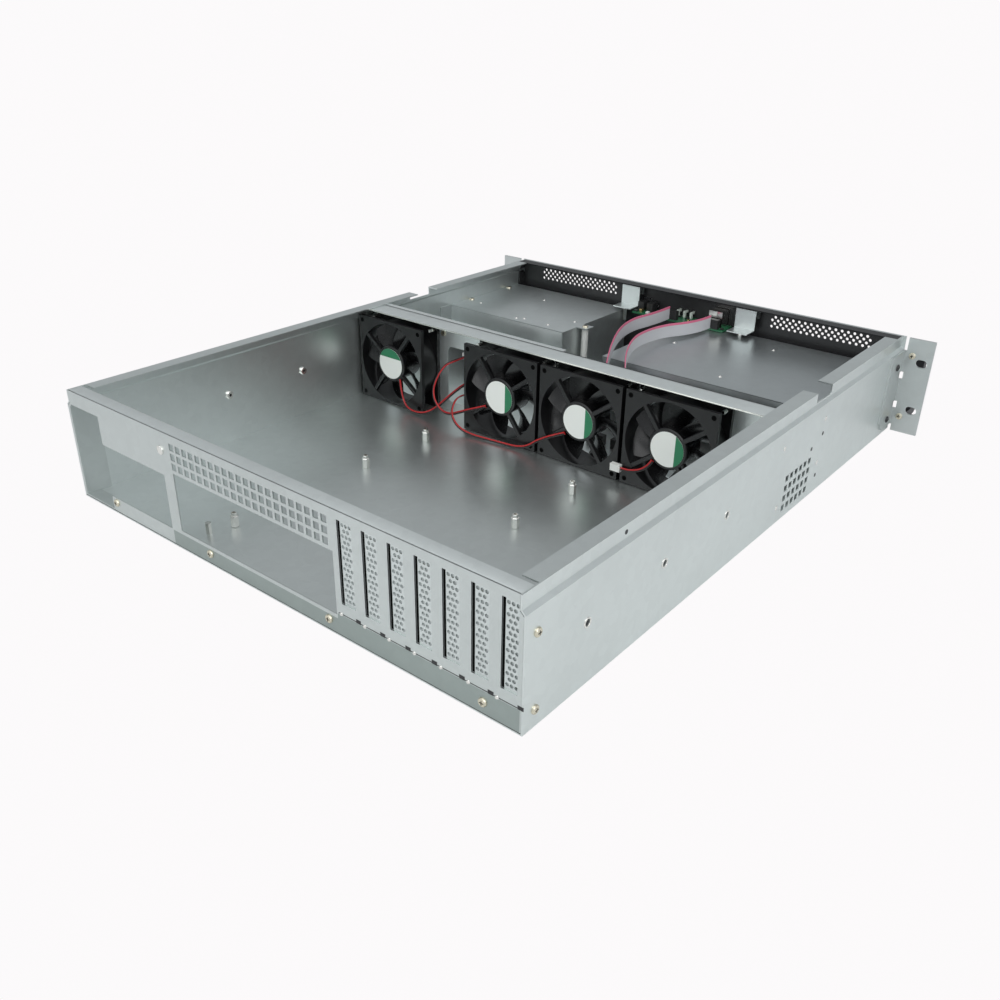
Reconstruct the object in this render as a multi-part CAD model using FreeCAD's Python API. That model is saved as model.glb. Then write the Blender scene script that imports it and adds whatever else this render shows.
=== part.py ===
# An empty 2U rackmount server case with its lid off, in millimetres.
# Z is up, the front faces -Y and the rear +Y. The origin is under the middle of the case's box,
# on the surface that the case stands on. Left and right are as seen from the front, so right is +X.
import FreeCAD, Part
import math
import os

Vector = FreeCAD.Vector
X = Vector(1, 0, 0)
Y = Vector(0, 1, 0)
Z = Vector(0, 0, 1)

# Case body
case_width = 430.0
case_height = 88.0
case_depth = 550.0
sheet = 1.0
fit = 0.1
wall_knee_height = 76.5
wall_inset = 2.5
top_flange_width = 11.9
top_flange_start = 15.0
top_flange_end = 538.0
lid_notch_start = 362.0
lid_notch_end = 390.0
lid_notch_clearance = 1.5

# Rack ears and handles
ear_thickness = 2.0
rack_width = 482.6
ear_flange_length = 32.0
ear_flange_low = 6.0
ear_flange_high = 76.0
ear_flange_chamfer = 8.0
ear_plate_gap = 1.3
rack_hole_spacing_x = 465.0
rack_hole_spacing_z = 44.45
rack_hole_length = 10.0
rack_hole_height = 7.0
ear_relief_height = 7.0
ear_relief_depth = 3.0
handle_reach = 34.0
handle_width = 9.0
handle_bar = 8.0
handle_outer_radius = 12.0
handle_inner_radius = 5.0
handle_corner_steps = 4
handle_screw_spacing = 57.5
handle_screw_x = 223.7
ear_screw_distance = 537.0
ear_screw_heights = (13.8, 63.0)

# Small fasteners
screw_head_radius = 3.0
screw_head_height = 1.5
rail_hole_radius = 2.5
rail_hole_height = 43.0
rail_hole_distances = (57.0, 140.0, 221.5)
side_screw_heights = (11.8, 61.7)
side_screw_distance = 10.6

# Vents
side_vent_hole = 5.0
side_vent_pitch = 8.2
side_vent_columns = 6
side_vent_rows = 4
side_vent_distance = 340.5
side_vent_height = 21.3
rear_vent_hole = 5.0
rear_vent_pitch_x = 9.3
rear_vent_pitch_z = 7.3
rear_vent_columns = 17
rear_vent_rows = 3
rear_vent_center_x = 8.1
rear_vent_center_z = 72.0
front_vent_hole = 4.6
front_vent_pitch_x = 34.0
front_vent_pitch_z = 5.8
front_vent_rows = 2
front_vent_columns = 3
front_vent_center_z = 77.0
front_vent_center_right = 136.0
front_vent_center_left = -137.5

# Rear panel
rear_flange_depth = 21.0
rear_top_flange = 11.5
psu_edge_x = 212.0
psu_step_x = 174.0
psu_inner_x = 97.0
psu_low = 2.5
psu_strip_height = 13.0
psu_step_height = 55.0
psu_top = 77.0
io_width = 158.75
io_height = 44.45
io_right_x = 85.85
io_low = 15.2
slot_count = 7
slot_pitch = 20.32
slot_width = 12.2
slot_first_x = -84.0
slot_low = 25.0
slot_high = 82.5
slot_cover_width = 10.8
slot_cover_low = 14.0
slot_cover_top = 86.0
slot_cover_tab = 10.5
slot_hole = 4.2
slot_hole_pitch = 16.4
slot_hole_rows = 3
slot_hole_columns = 2
slot_hole_column_pitch = 5.2
panel_screw_height = 9.0
panel_screw_places = (168.9, 54.0, -65.3, -187.8)

# Board standoffs: offsets of the columns and rows of a full-size board
standoff_right_x = 85.5
standoff_column_offsets = (0.0, 157.48, 281.94)
standoff_rear_distance = 20.3
standoff_row_offsets = (0.0, 154.94, 227.33)
standoff_corner_offset = 22.86
standoff_height = 11.5
standoff_radius = 3.3
stud_x = 91.2
stud_distance = 24.6
stud_height = 8.6
stud_radius = 2.4

# Fans and fan wall
fan_size = 80.0
fan_depth = 25.0
fan_bore_radius = 38.0
fan_duct_sides = 12
fan_hub_sides = 10
fan_hub_radius = 17.0
fan_center_x = (170.0, 38.5, -45.0, -128.5)
fan_rear_distance = 291.0
fan_foot_clearance = 0.5
fan_flange_thickness = 3.6
fan_body_margin = 1.8
fan_strut_width = 4.0
fan_strut_depth = 3.0
fan_motor_mount_depth = 3.6
fan_label_thickness = 0.3
fan_label_radius = 14.5
fan_axial_gap = 0.5
fan_tip_gap = 1.0
blade_count = 7
blade_thickness = 1.5
blade_chord = 21.0
blade_pitch = 38.0
blade_sweep = 5.0
blade_center = 10.7
wall_thickness = 1.2
fan_wall_top = 86.8
fan_wall_flange = 20.0
fan_wall_side_tab = 18.0
cable_hole_right_x = 120.0
cable_hole_left_x = 84.0
cable_hole_low = 10.0
cable_hole_high = 64.0
cable_hole_radius = 5.0
stiffener_left_x = -8.0
stiffener_right_x = 200.0
stiffener_leg = 6.0
stiffener_drop = 12.0

# Drive cages
cage_top = 62.0
cage_front_distance = 540.0
right_cage_inner_x = 68.0
right_cage_rear_distance = 425.0
left_cage_inner_x = 0.0
left_cage_rear_distance = 392.0
cage_tab_length = 16.0
cage_screw_distances = (455.0, 519.0)
cage_screw_x = 210.0
cage_post_x = 62.0
cage_post_distance = 455.0
cage_post_radius = 3.2
cage_ear_width = 12.0

# Front panel
bezel_flange = 14.0
bezel_side_flange = 11.0
subpanel_gap = 2.0
subpanel_flange = 9.0
bezel_window_margin = 2.0
bracket_width = 21.0
bracket_right_x = 64.0
bracket_left_x = -66.5
bracket_top = 86.0
bracket_step = 66.0
bracket_reach = 9.0
bracket_foot = 16.0
bracket_post_radius = 2.5
bracket_post_low = 52.0
board_thickness = 1.6
board_height = 62.6
board_length = 22.0
board_power_x = (34.0, 53.0)
board_lights_x = (-12.0, 15.0)
board_usb_x = (-50.0, -25.0)
button_height = 69.4
power_button_x = 48.5
power_button_radius = 5.0
reset_button_x = 38.0
reset_button_radius = 2.6
button_travel = 2.0
button_proud = 3.0
button_clearance = 0.3
switch_body = 7.0
light_radius = 1.5
light_xs = (-6.0, 1.5, 9.0)
usb_x = -37.5
usb_width = 14.4
usb_height = 15.6
usb_length = 18.0
usb_port_width = 12.2
usb_port_height = 5.0
usb_port_depth = 9.0
usb_port_pitch = 7.6
ribbon_header_width = 16.0
ribbon_header_depth = 5.0
ribbon_header_height = 9.0

# Leads
lead_width = 2.8
lead_thickness = 1.4
lead_connector_width = 7.5
lead_connector_height = 6.0
lead_connector_length = 9.0
rail_width = 8.0
rail_margin = 2.0
ribbon_width = 13.0
ribbon_thickness = 1.0
ribbon_connector_width = 17.0
ribbon_connector_depth = 6.0

# Worked out from the sizes above
half_width = case_width / 2
wall_inner = half_width - sheet
upper_inner = half_width - wall_inset - sheet
front_skin_distance = case_depth + ear_thickness
rear_y = (front_skin_distance + handle_reach - screw_head_height) / 2
bend_offset = sheet * math.tan(math.radians(22.5))
fan_plate_distance = fan_rear_distance + fan_depth
fan_center_z = sheet + fan_foot_clearance + fan_size / 2


def y_at(distance):
    """Y of a place so far in front of the rear panel's outer face."""
    return rear_y - distance


def block(x0, x1, d0, d1, z0, z1):
    """A box between two X, two distances from the rear face and two heights."""
    low_x = min(x0, x1)
    low_y = min(y_at(d0), y_at(d1))
    low_z = min(z0, z1)
    return Part.makeBox(abs(x1 - x0), abs(d1 - d0), abs(z1 - z0), Vector(low_x, low_y, low_z))


def prism(points, direction):
    """An outline of points pushed along a vector."""
    wire = Part.makePolygon(points + [points[0]])
    return Part.Face(wire).extrude(direction)


def rod(sides, radius, start, direction, turn=0.0):
    """A straight rod with a regular outline; few sides keep the small pieces light."""
    axis = Vector(direction)
    axis.normalize()
    across = Z if abs(axis.z) < 0.9 else X
    second = axis.cross(across)
    points = []
    for index in range(sides):
        angle = turn + 2 * math.pi * (index + 0.5) / sides
        points.append(start + across * (radius * math.cos(angle)) + second * (radius * math.sin(angle)))
    return prism(points, direction)


def cut_all(solid, tools):
    """A solid with a list of tools taken out of it."""
    if not tools:
        return solid
    return solid.cut(Part.makeCompound(tools))


def join(pieces):
    """Pieces of one part made into one solid, with no seams left on flat faces."""
    return pieces[0].multiFuse(pieces[1:]).removeSplitter()


def mirror_x(shape):
    """The same shape on the other side of the case."""
    return shape.mirror(Vector(0, 0, 0), X)


def oblong(x, d0, d1, z, length, height):
    """A long hole with round ends."""
    half = (length - height) / 2
    radius = height / 2
    y = y_at(max(d0, d1))
    sides = ((1, 1), (1, -1), (-1, -1), (-1, 1))
    corners = [Vector(x + side_x * half, y, z + side_z * radius) for side_x, side_z in sides]
    edges = [
        Part.Arc(corners[0], Vector(x + half + radius, y, z), corners[1]).toShape(),
        Part.makeLine(corners[1], corners[2]),
        Part.Arc(corners[2], Vector(x - half - radius, y, z), corners[3]).toShape(),
        Part.makeLine(corners[3], corners[0]),
    ]
    return Part.Face(Part.Wire(edges)).extrude(Y * abs(d1 - d0))


def hole_grid(center_x, center_z, columns, rows, pitch_x, pitch_z, size, d0, d1, stagger=0.0):
    """Square tools that punch a grid of holes through a sheet that faces the rear."""
    tools = []
    for row in range(rows):
        shift = stagger * (row % 2 - 0.5)
        for column in range(columns):
            x = center_x + (column - (columns - 1) / 2) * pitch_x + shift
            z = center_z + (row - (rows - 1) / 2) * pitch_z
            tools.append(block(x - size / 2, x + size / 2, d0, d1, z - size / 2, z + size / 2))
    return tools


def screw(seat, direction, head_radius=screw_head_radius, head_height=screw_head_height):
    """A screw's head on its seat; the direction points into what it holds."""
    axis = Vector(direction)
    axis.normalize()
    return rod(6, head_radius, seat - axis * head_height, axis * head_height)


side_screw_seats = [Vector(half_width, y_at(side_screw_distance), z) for z in side_screw_heights]
panel_screw_seats = [Vector(x, rear_y, panel_screw_height) for x in panel_screw_places]
slot_centers = [slot_first_x - slot_pitch * index for index in range(slot_count)]


def ear_screw_seats():
    """The seats on the right-hand ear's side flange."""
    x = half_width + ear_thickness
    return [Vector(x, y_at(ear_screw_distance), z) for z in ear_screw_heights]


def handle_screw_seats():
    """The seats behind the right-hand ear plate."""
    middle = case_height / 2 - 0.5
    y = y_at(case_depth)
    heights = (middle - handle_screw_spacing / 2, middle + handle_screw_spacing / 2)
    return [Vector(handle_screw_x, y, z) for z in heights]


def chassis_tub():
    """Floor and both side walls, folded from one sheet, with a step near the top of each wall."""
    upper = half_width - wall_inset
    slope_top = wall_knee_height + wall_inset
    flange_edge = upper - top_flange_width
    side = [
        (half_width, 0.0),
        (half_width, wall_knee_height),
        (upper, slope_top),
        (upper, case_height),
        (flange_edge, case_height),
        (flange_edge, case_height - sheet),
        (upper_inner, case_height - sheet),
        (upper_inner, slope_top - bend_offset),
        (wall_inner, wall_knee_height - bend_offset),
        (wall_inner, sheet),
    ]
    start = y_at(front_skin_distance)
    outline = [Vector(x, start, z) for x, z in side]
    outline += [Vector(-x, start, z) for x, z in reversed(side)]
    tub = prism(outline, Y * front_skin_distance)

    tools = []
    flange_low = case_height - sheet
    over = case_height + 1.0
    flange_gaps = ((-1.0, top_flange_start), (top_flange_end, front_skin_distance + 1.0))
    for sign in (1, -1):
        for d0, d1 in flange_gaps:
            tools.append(block(sign * (flange_edge - 1), sign * upper_inner, d0, d1, flange_low, over))
        notch_low = slope_top + lid_notch_clearance
        notch_x = (sign * (flange_edge - 1), sign * (upper + 1))
        tools.append(block(notch_x[0], notch_x[1], lid_notch_start, lid_notch_end, notch_low, over))
        for distance in rail_hole_distances:
            start = Vector(sign * (half_width + 1), y_at(distance), rail_hole_height)
            tools.append(rod(6, rail_hole_radius, start, X * (-sign * (sheet + 2))))
    half = side_vent_hole / 2
    for column in range(side_vent_columns):
        distance = side_vent_distance + (column - (side_vent_columns - 1) / 2) * side_vent_pitch
        for row in range(side_vent_rows):
            z = side_vent_height + (row - (side_vent_rows - 1) / 2) * side_vent_pitch
            x0 = -half_width - 1
            x1 = -wall_inner + 1
            tools.append(block(x0, x1, distance - half, distance + half, z - half, z + half))
    return cut_all(tub, tools)


def rear_panel():
    """The separate folded sheet at the back, with every opening that a board and a supply need."""
    low = sheet
    side = wall_inner - fit
    high_side = upper_inner - fit
    outline = [
        (side, low),
        (side, wall_knee_height - 1.0),
        (high_side, wall_knee_height + wall_inset - 1.0),
        (high_side, case_height),
    ]
    points = [Vector(x, y_at(sheet), z) for x, z in outline]
    points += [Vector(-x, y_at(sheet), z) for x, z in reversed(outline)]
    plate = prism(points, Y * sheet)
    folds = [plate]
    top_edge = upper_inner - fit
    folds.append(block(-top_edge, top_edge, 0, rear_top_flange, case_height - sheet, case_height))
    folds.append(block(-side, side, 0, rear_top_flange, low, low + sheet))
    for sign in (1, -1):
        inner = sign * (side - sheet)
        folds.append(block(inner, sign * side, 0, rear_flange_depth, low, wall_knee_height - 1.5))
    panel = join(folds)

    tools = []
    psu = [
        (psu_edge_x, psu_low),
        (psu_step_x, psu_low),
        (psu_step_x, psu_strip_height),
        (psu_inner_x, psu_strip_height),
        (psu_inner_x, psu_step_height),
        (psu_step_x, psu_step_height),
        (psu_step_x, psu_top),
        (psu_edge_x - wall_inset, psu_top),
        (psu_edge_x, wall_knee_height - 2.0),
    ]
    tools.append(prism([Vector(x, y_at(sheet + 1), z) for x, z in psu], Y * (sheet + 2)))
    io_left_x = io_right_x - io_width
    tools.append(block(io_left_x, io_right_x, -1, sheet + 1, io_low, io_low + io_height))
    for x in slot_centers:
        tools.append(block(x - slot_width / 2, x + slot_width / 2, -1, sheet + 1, slot_low, slot_high))
    tools += hole_grid(rear_vent_center_x, rear_vent_center_z, rear_vent_columns, rear_vent_rows,
                       rear_vent_pitch_x, rear_vent_pitch_z, rear_vent_hole, -1, sheet + 1)
    return cut_all(panel, tools)


def slot_cover(x):
    """One perforated blank behind a card slot, with a tab bent forward under the top flange."""
    half = slot_cover_width / 2
    back = sheet
    plate = block(x - half, x + half, back, back + sheet, slot_cover_low, slot_cover_top)
    tab = block(x - half, x + half, back, slot_cover_tab, slot_cover_top - sheet, slot_cover_top)
    cover = join([plate, tab])
    middle = (slot_low + slot_high) / 2
    tools = []
    for column in range(slot_hole_columns):
        side = column - (slot_hole_columns - 1) / 2
        tools += hole_grid(x + side * slot_hole_column_pitch, middle + side * slot_hole_pitch / 2,
                           1, slot_hole_rows, slot_hole_pitch, slot_hole_pitch, slot_hole,
                           back - 1, back + sheet + 1)
    return cut_all(cover, tools)


def mirrored_screws(seats, direction):
    """Screws at the seats on the right and at their mirror places on the left."""
    right = [screw(seat, direction) for seat in seats]
    return right + [mirror_x(item) for item in right]


def panel_screws():
    """Screws along the rear panel's bottom strip."""
    return [screw(seat, Y * -1) for seat in panel_screw_seats]


def standoffs():
    """Hexagonal board standoffs on the floor; the one beside the ports stands further in."""
    pieces = []
    for column, offset_x in enumerate(standoff_column_offsets):
        for row, offset_y in enumerate(standoff_row_offsets):
            corner = standoff_corner_offset if column == 0 and row == 0 else 0.0
            distance = standoff_rear_distance + offset_y + corner
            foot = Vector(standoff_right_x - offset_x, y_at(distance), sheet)
            pieces.append(rod(6, standoff_radius, foot, Z * standoff_height))
    return pieces


def fan_frame(x):
    """The moulded housing of one fan: two square flanges, a round duct and a motor on four struts."""
    half = fan_size / 2
    z = fan_center_z
    d0 = fan_rear_distance
    d1 = fan_plate_distance
    body_half = half - fan_body_margin
    slim = block(x - body_half, x + body_half, d0, d1, z - body_half, z + body_half)
    rear = block(x - half, x + half, d0, d0 + fan_flange_thickness, z - half, z + half)
    front = block(x - half, x + half, d1 - fan_flange_thickness, d1, z - half, z + half)
    shell = join([slim, rear, front])
    duct = rod(fan_duct_sides, fan_bore_radius, Vector(x, y_at(d1 + 1), z), Y * (fan_depth + 2))
    shell = shell.cut(duct)
    struts = []
    reach = fan_bore_radius + 1.0
    for index in range(4):
        corner = Vector(-fan_strut_width / 2, y_at(d0) - fan_strut_depth, 0)
        strut = Part.makeBox(fan_strut_width, fan_strut_depth, reach, corner)
        strut.rotate(Vector(0, 0, 0), Y, 45 + 90 * index)
        strut.translate(Vector(x, 0, z))
        struts.append(strut)
    mount_start = Vector(x, y_at(d0 + fan_motor_mount_depth), z)
    mount = rod(fan_hub_sides, fan_hub_radius, mount_start, Y * fan_motor_mount_depth)
    return join([shell, mount] + struts)


def blade_section(radius, shift):
    """One flat section of a blade, square to the radius, leaning by the blade's pitch."""
    lean = math.radians(blade_pitch)
    along = Y * math.cos(lean) + X * math.sin(lean)
    normal = X * math.cos(lean) - Y * math.sin(lean)
    center = Z * radius + X * shift + Y * (blade_center - fan_axial_gap)
    half = along * (blade_chord / 2)
    rise = normal * (blade_thickness / 2)
    return [center - half - rise, center + half - rise, center + half + rise, center - half + rise]


def fan_impeller(x):
    """A hub with seven leaning blades that sweep forward from hub to tip."""
    d0 = fan_rear_distance + fan_motor_mount_depth + fan_axial_gap
    d1 = fan_plate_distance - fan_axial_gap
    hub = rod(fan_hub_sides, fan_hub_radius - fan_axial_gap, Vector(0, 0, 0), Y * (d1 - d0))
    side = blade_chord / 2 * math.sin(math.radians(blade_pitch)) + blade_thickness / 2 + blade_sweep
    flat = fan_bore_radius * math.cos(math.pi / fan_duct_sides)
    tip = math.sqrt((flat - fan_tip_gap) ** 2 - side ** 2)
    root = fan_hub_radius - 5.0
    pieces = [hub]
    for index in range(blade_count):
        blade = prism(blade_section(root, 0.0), Z * (tip - root) + X * blade_sweep)
        blade.rotate(Vector(0, 0, 0), Y, 360.0 * index / blade_count)
        pieces.append(blade)
    impeller = pieces[0].multiFuse(pieces[1:])
    impeller.translate(Vector(x, y_at(d1), fan_center_z))
    return impeller


def fan_label(x):
    """The thin disc stuck on a fan's motor mount."""
    start = Vector(x, y_at(fan_rear_distance), fan_center_z)
    return rod(8, fan_label_radius, start, Y * fan_label_thickness)


def fan_wall():
    """The folded cross wall that carries the fans, with a round hole for each and a cable hole."""
    d0 = fan_plate_distance
    d1 = d0 + wall_thickness
    side = wall_inner - fit
    high_side = upper_inner - fit
    outline = [
        (side, sheet),
        (side, wall_knee_height - 1.0),
        (high_side, wall_knee_height + wall_inset - 1.0),
        (high_side, fan_wall_top),
    ]
    points = [Vector(x, y_at(d1), z) for x, z in outline]
    points += [Vector(-x, y_at(d1), z) for x, z in reversed(outline)]
    folds = [prism(points, Y * wall_thickness)]
    flange_start = d1 - fan_wall_flange
    folds.append(block(-high_side, high_side, flange_start, d1, fan_wall_top - wall_thickness, fan_wall_top))
    for sign in (1, -1):
        inner = sign * (side - wall_thickness)
        tab_start = d1 - fan_wall_side_tab
        folds.append(block(inner, sign * side, tab_start, d1, sheet, wall_knee_height - 1.5))
    wall = join(folds)
    tools = []
    for x in fan_center_x:
        start = Vector(x, y_at(d1 + 1), fan_center_z)
        tools.append(rod(fan_duct_sides, fan_bore_radius, start, Y * (wall_thickness + 2)))
    hole = block(cable_hole_left_x, cable_hole_right_x, d0 - 1, d1 + 1, cable_hole_low, cable_hole_high)
    corners = [edge for edge in hole.Edges if abs(edge.Vertexes[0].Y - edge.Vertexes[1].Y) > 1]
    tools.append(hole.makeChamfer(cable_hole_radius, corners))
    return cut_all(wall, tools)


def fan_wall_stiffener():
    """An angle strip on the front of the fan wall, along its top edge."""
    d0 = fan_plate_distance + wall_thickness
    top = fan_wall_top
    leg = block(stiffener_left_x, stiffener_right_x, d0, d0 + sheet, top - stiffener_drop, top)
    lip = block(stiffener_left_x, stiffener_right_x, d0, d0 + stiffener_leg, top - sheet, top)
    return join([leg, lip])


def drive_cage(inner_x, rear_distance, with_ear):
    """An inverted channel over the drives; its wall along the case has a tab towards the rear."""
    side = 1 if inner_x > 0 else -1
    outer = side * (wall_inner - fit)
    front = cage_front_distance
    top = block(inner_x, outer, rear_distance, front, cage_top - sheet, cage_top)
    inner_wall = block(inner_x, inner_x + side * sheet, rear_distance, front, sheet, cage_top)
    tab_start = rear_distance - cage_tab_length
    outer_wall = block(outer - side * sheet, outer, tab_start, front, sheet, cage_top)
    pieces = [top, inner_wall, outer_wall]
    if with_ear:
        half = cage_ear_width / 2
        ear_x = cage_post_x - half
        d0 = cage_post_distance - half
        pieces.append(block(ear_x, inner_x, d0, d0 + cage_ear_width, cage_top - sheet, cage_top))
    return join(pieces)


def cage_screw_seats():
    """Two screws at the case wall and one over the post."""
    seats = [Vector(cage_screw_x, y_at(distance), cage_top) for distance in cage_screw_distances]
    seats.append(Vector(cage_post_x, y_at(cage_post_distance), cage_top))
    return seats


def cage_screws():
    """The screws on top of the right-hand cage."""
    return [screw(seat, Z * -1) for seat in cage_screw_seats()]


def cage_post():
    """The hexagonal post from the floor up to the cage's small ear."""
    foot = Vector(cage_post_x, y_at(cage_post_distance), sheet)
    return rod(6, cage_post_radius, foot, Z * (cage_top - 2 * sheet))


def vent_band(center_x):
    """The ends and heights of the front vent's window about its centre."""
    half = ((front_vent_columns - 1) * front_vent_pitch_x + front_vent_pitch_x) / 2
    half_height = (front_vent_rows - 1) * front_vent_pitch_z / 2 + front_vent_hole / 2
    half_height += bezel_window_margin
    low = front_vent_center_z - half_height
    high = front_vent_center_z + half_height
    return center_x - half, center_x + half, low, high


def port_tools(d0, d1, clearance):
    """Tools for everything that shows through the front: buttons, lights and sockets."""
    tools = []
    length = abs(d1 - d0)
    y = y_at(max(d0, d1))
    for x, radius in ((power_button_x, power_button_radius), (reset_button_x, reset_button_radius)):
        tools.append(rod(8, radius + clearance, Vector(x, y, button_height), Y * length))
    for x in light_xs:
        tools.append(rod(4, light_radius + fit, Vector(x, y, button_height), Y * length))
    half = usb_width / 2 + clearance
    top = board_height + board_thickness + usb_height + clearance
    low = board_height + board_thickness - clearance
    tools.append(block(usb_x - half, usb_x + half, d0, d1, low, top))
    return tools


def front_bezel():
    """The silver pan that closes the front, with windows over the two vents."""
    d0 = front_skin_distance
    d1 = d0 + sheet
    half = half_width
    plate = block(-half, half, d0, d1, 0, case_height)
    top_x = upper_inner - fit
    inner_z = case_height - sheet
    start = d0 - bezel_flange
    top_half = top_x if top_flange_end <= start else half_width - wall_inset - top_flange_width - fit
    top = block(-top_half, top_half, start, d0, inner_z, case_height)
    bottom_x = wall_inner - fit
    bottom = block(-bottom_x, bottom_x, d0 - bezel_side_flange, d0, sheet, 2 * sheet)
    folds = [plate, top, bottom]
    for sign in (1, -1):
        inner = sign * (bottom_x - sheet)
        folds.append(block(inner, sign * bottom_x, d0 - bezel_side_flange, d0, sheet, wall_knee_height - 1))
    pan = join(folds)
    tools = port_tools(d0 - 1, d1 + 1, button_clearance)
    for center in (front_vent_center_left, front_vent_center_right):
        x0, x1, low, high = vent_band(center)
        tools.append(block(x0, x1, d0 - 1, d1 + 1, low, high))
    return cut_all(pan, tools)


subpanel_distance = front_skin_distance - subpanel_gap


def front_subpanel():
    """The black sheet behind the bezel, perforated where the bezel has its windows."""
    d1 = subpanel_distance
    d0 = d1 - sheet
    side = wall_inner - 2 * fit - sheet
    low = 2 * sheet
    high = case_height - sheet - fit
    upper_side = upper_inner - fit
    knee = wall_knee_height - 2.0
    outline = [(side, low), (side, knee), (upper_side, knee), (upper_side, high)]
    points = [Vector(x, y_at(d1), z) for x, z in outline]
    points += [Vector(-x, y_at(d1), z) for x, z in reversed(outline)]
    folds = [prism(points, Y * sheet)]
    for sign in (1, -1):
        folds.append(block(sign * (side - sheet), sign * side, d1 - subpanel_flange, d1, low, knee))
        upper_x = (sign * (upper_side - sheet), sign * upper_side)
        folds.append(block(upper_x[0], upper_x[1], d1 - subpanel_flange, d1, wall_knee_height + 3, high))
    folds.append(block(-side, side, d1 - subpanel_flange, d1, low, low + sheet))
    panel = join(folds)
    tools = port_tools(d0 - 1, d1 + 1, button_clearance)
    for center in (front_vent_center_left, front_vent_center_right):
        tools += hole_grid(center, front_vent_center_z, front_vent_columns, front_vent_rows,
                           front_vent_pitch_x, front_vent_pitch_z, front_vent_hole,
                           d0 - 1, d1 + 1, front_vent_pitch_x / 2)
    return cut_all(panel, tools)


board_front = subpanel_distance - sheet


def control_board(x_range):
    """A small board whose front edge stands against the black sheet."""
    top = board_height + board_thickness
    return block(x_range[0], x_range[1], board_front - board_length, board_front, board_height, top)


def switch_block(x):
    """The body of a push switch behind its button, with room for the button's travel."""
    front = board_front - 3.0
    half = switch_body / 2
    low = board_height + board_thickness
    high = button_height + half
    return block(x - half, x + half, front - 10.0, front, low, high)


def push_button(x, radius):
    """A button cap that slides through the front and rests just off its switch."""
    back = board_front - 3.0 + button_travel + 0.4
    front = front_skin_distance + sheet + button_proud
    start = Vector(x, y_at(front), button_height)
    return rod(8, radius, start, Y * (front - back))


def indicator_lights():
    """Three light pipes from the board to the front face."""
    pieces = []
    front = front_skin_distance + sheet
    for x in light_xs:
        start = Vector(x, y_at(front), button_height)
        pipe = rod(4, light_radius, start, Y * (front - board_front + 6))
        top = button_height - light_radius + 0.3
        leg = block(x - 1, x + 1, board_front - 6, board_front - 3, board_height + board_thickness, top)
        pieces.append(join([pipe, leg]))
    return pieces


def usb_sockets():
    """A stacked pair of sockets in one metal shell, open to the front."""
    low = board_height + board_thickness
    front = front_skin_distance + sheet - 0.5
    half = usb_width / 2
    body = block(usb_x - half, usb_x + half, front - usb_length, front, low, low + usb_height)
    tools = []
    for side in (-1, 1):
        z = low + usb_height / 2 + side * usb_port_pitch / 2
        half_port = usb_port_width / 2
        half_high = usb_port_height / 2
        port_z = (z - half_high, z + half_high)
        tools.append(block(usb_x - half_port, usb_x + half_port, front - usb_port_depth, front + 1, *port_z))
    return cut_all(body, tools)


def ribbon_header(x):
    """The socket on a board that a ribbon cable comes out of."""
    half = ribbon_header_width / 2
    low = board_height + board_thickness
    d0 = board_front - board_length + 0.5
    return block(x - half, x + half, d0, d0 + ribbon_header_depth, low, low + ribbon_header_height)


def panel_bracket(x):
    """A stepped bracket on the back of the black sheet, with a foot that holds a threaded post."""
    half = bracket_width / 2
    d1 = board_front
    d0 = d1 - bracket_reach
    top = block(x - half, x + half, d0, d1, bracket_top - sheet, bracket_top)
    back = block(x - half, x + half, d1 - sheet, d1, bracket_top - 9, bracket_top)
    leg = block(x - half, x + half, d0, d0 + sheet, bracket_step, bracket_top)
    foot = block(x - half, x + half, d0 - bracket_foot, d0 + sheet, bracket_step, bracket_step + sheet)
    return join([top, back, leg, foot])


def bracket_post(x, low):
    """The threaded post under a bracket's foot."""
    distance = board_front - bracket_reach - bracket_foot / 2
    return rod(6, bracket_post_radius, Vector(x, y_at(distance), low), Z * (bracket_step - low))


def rack_ear():
    """The right-hand rack ear: a plate with two slots and a flange along the case wall."""
    x0 = half_width
    x1 = x0 + ear_thickness
    rear = case_depth
    front = front_skin_distance
    tip = rack_width / 2
    plate_x = x1 + ear_plate_gap
    plate = block(plate_x, tip, rear, front, 0, case_height)
    bridge = block(x0, plate_x, rear, front, ear_flange_low, ear_flange_high)
    start = front - ear_flange_length
    flange = [
        (front, ear_flange_low),
        (front, ear_flange_high),
        (start, ear_flange_high),
        (start, ear_flange_low + ear_flange_chamfer),
        (start + ear_flange_chamfer, ear_flange_low),
    ]
    side = prism([Vector(x0, y_at(d), z) for d, z in flange], X * ear_thickness)
    ear = join([plate, bridge, side])
    tools = []
    middle = case_height / 2
    for sign in (1, -1):
        z = middle + 0.45 + sign * rack_hole_spacing_z / 2
        tools.append(oblong(rack_hole_spacing_x / 2, rear - 1, front + 1, z,
                            rack_hole_length, rack_hole_height))
        relief_z = middle - 5.0 + sign * 14.0
        half = ear_relief_height / 2
        tools.append(block(x0 - 1, plate_x + 1, rear - ear_relief_depth, front + 1,
                           relief_z - half, relief_z + half))
    return cut_all(ear, tools)


def handle():
    """A flat bar handle in front of the right-hand ear, with rounded corners."""
    back = y_at(front_skin_distance)
    reach = handle_reach
    seats = handle_screw_seats()
    low = seats[0].z - handle_bar / 2
    high = seats[1].z + handle_bar / 2
    x = handle_screw_x - handle_width / 2
    outer = handle_loop(x, back, reach, low, high, handle_outer_radius)
    inner = handle_loop(x, back, reach - handle_bar, low + handle_bar, high - handle_bar,
                        handle_inner_radius)
    return outer.cut(inner)


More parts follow.
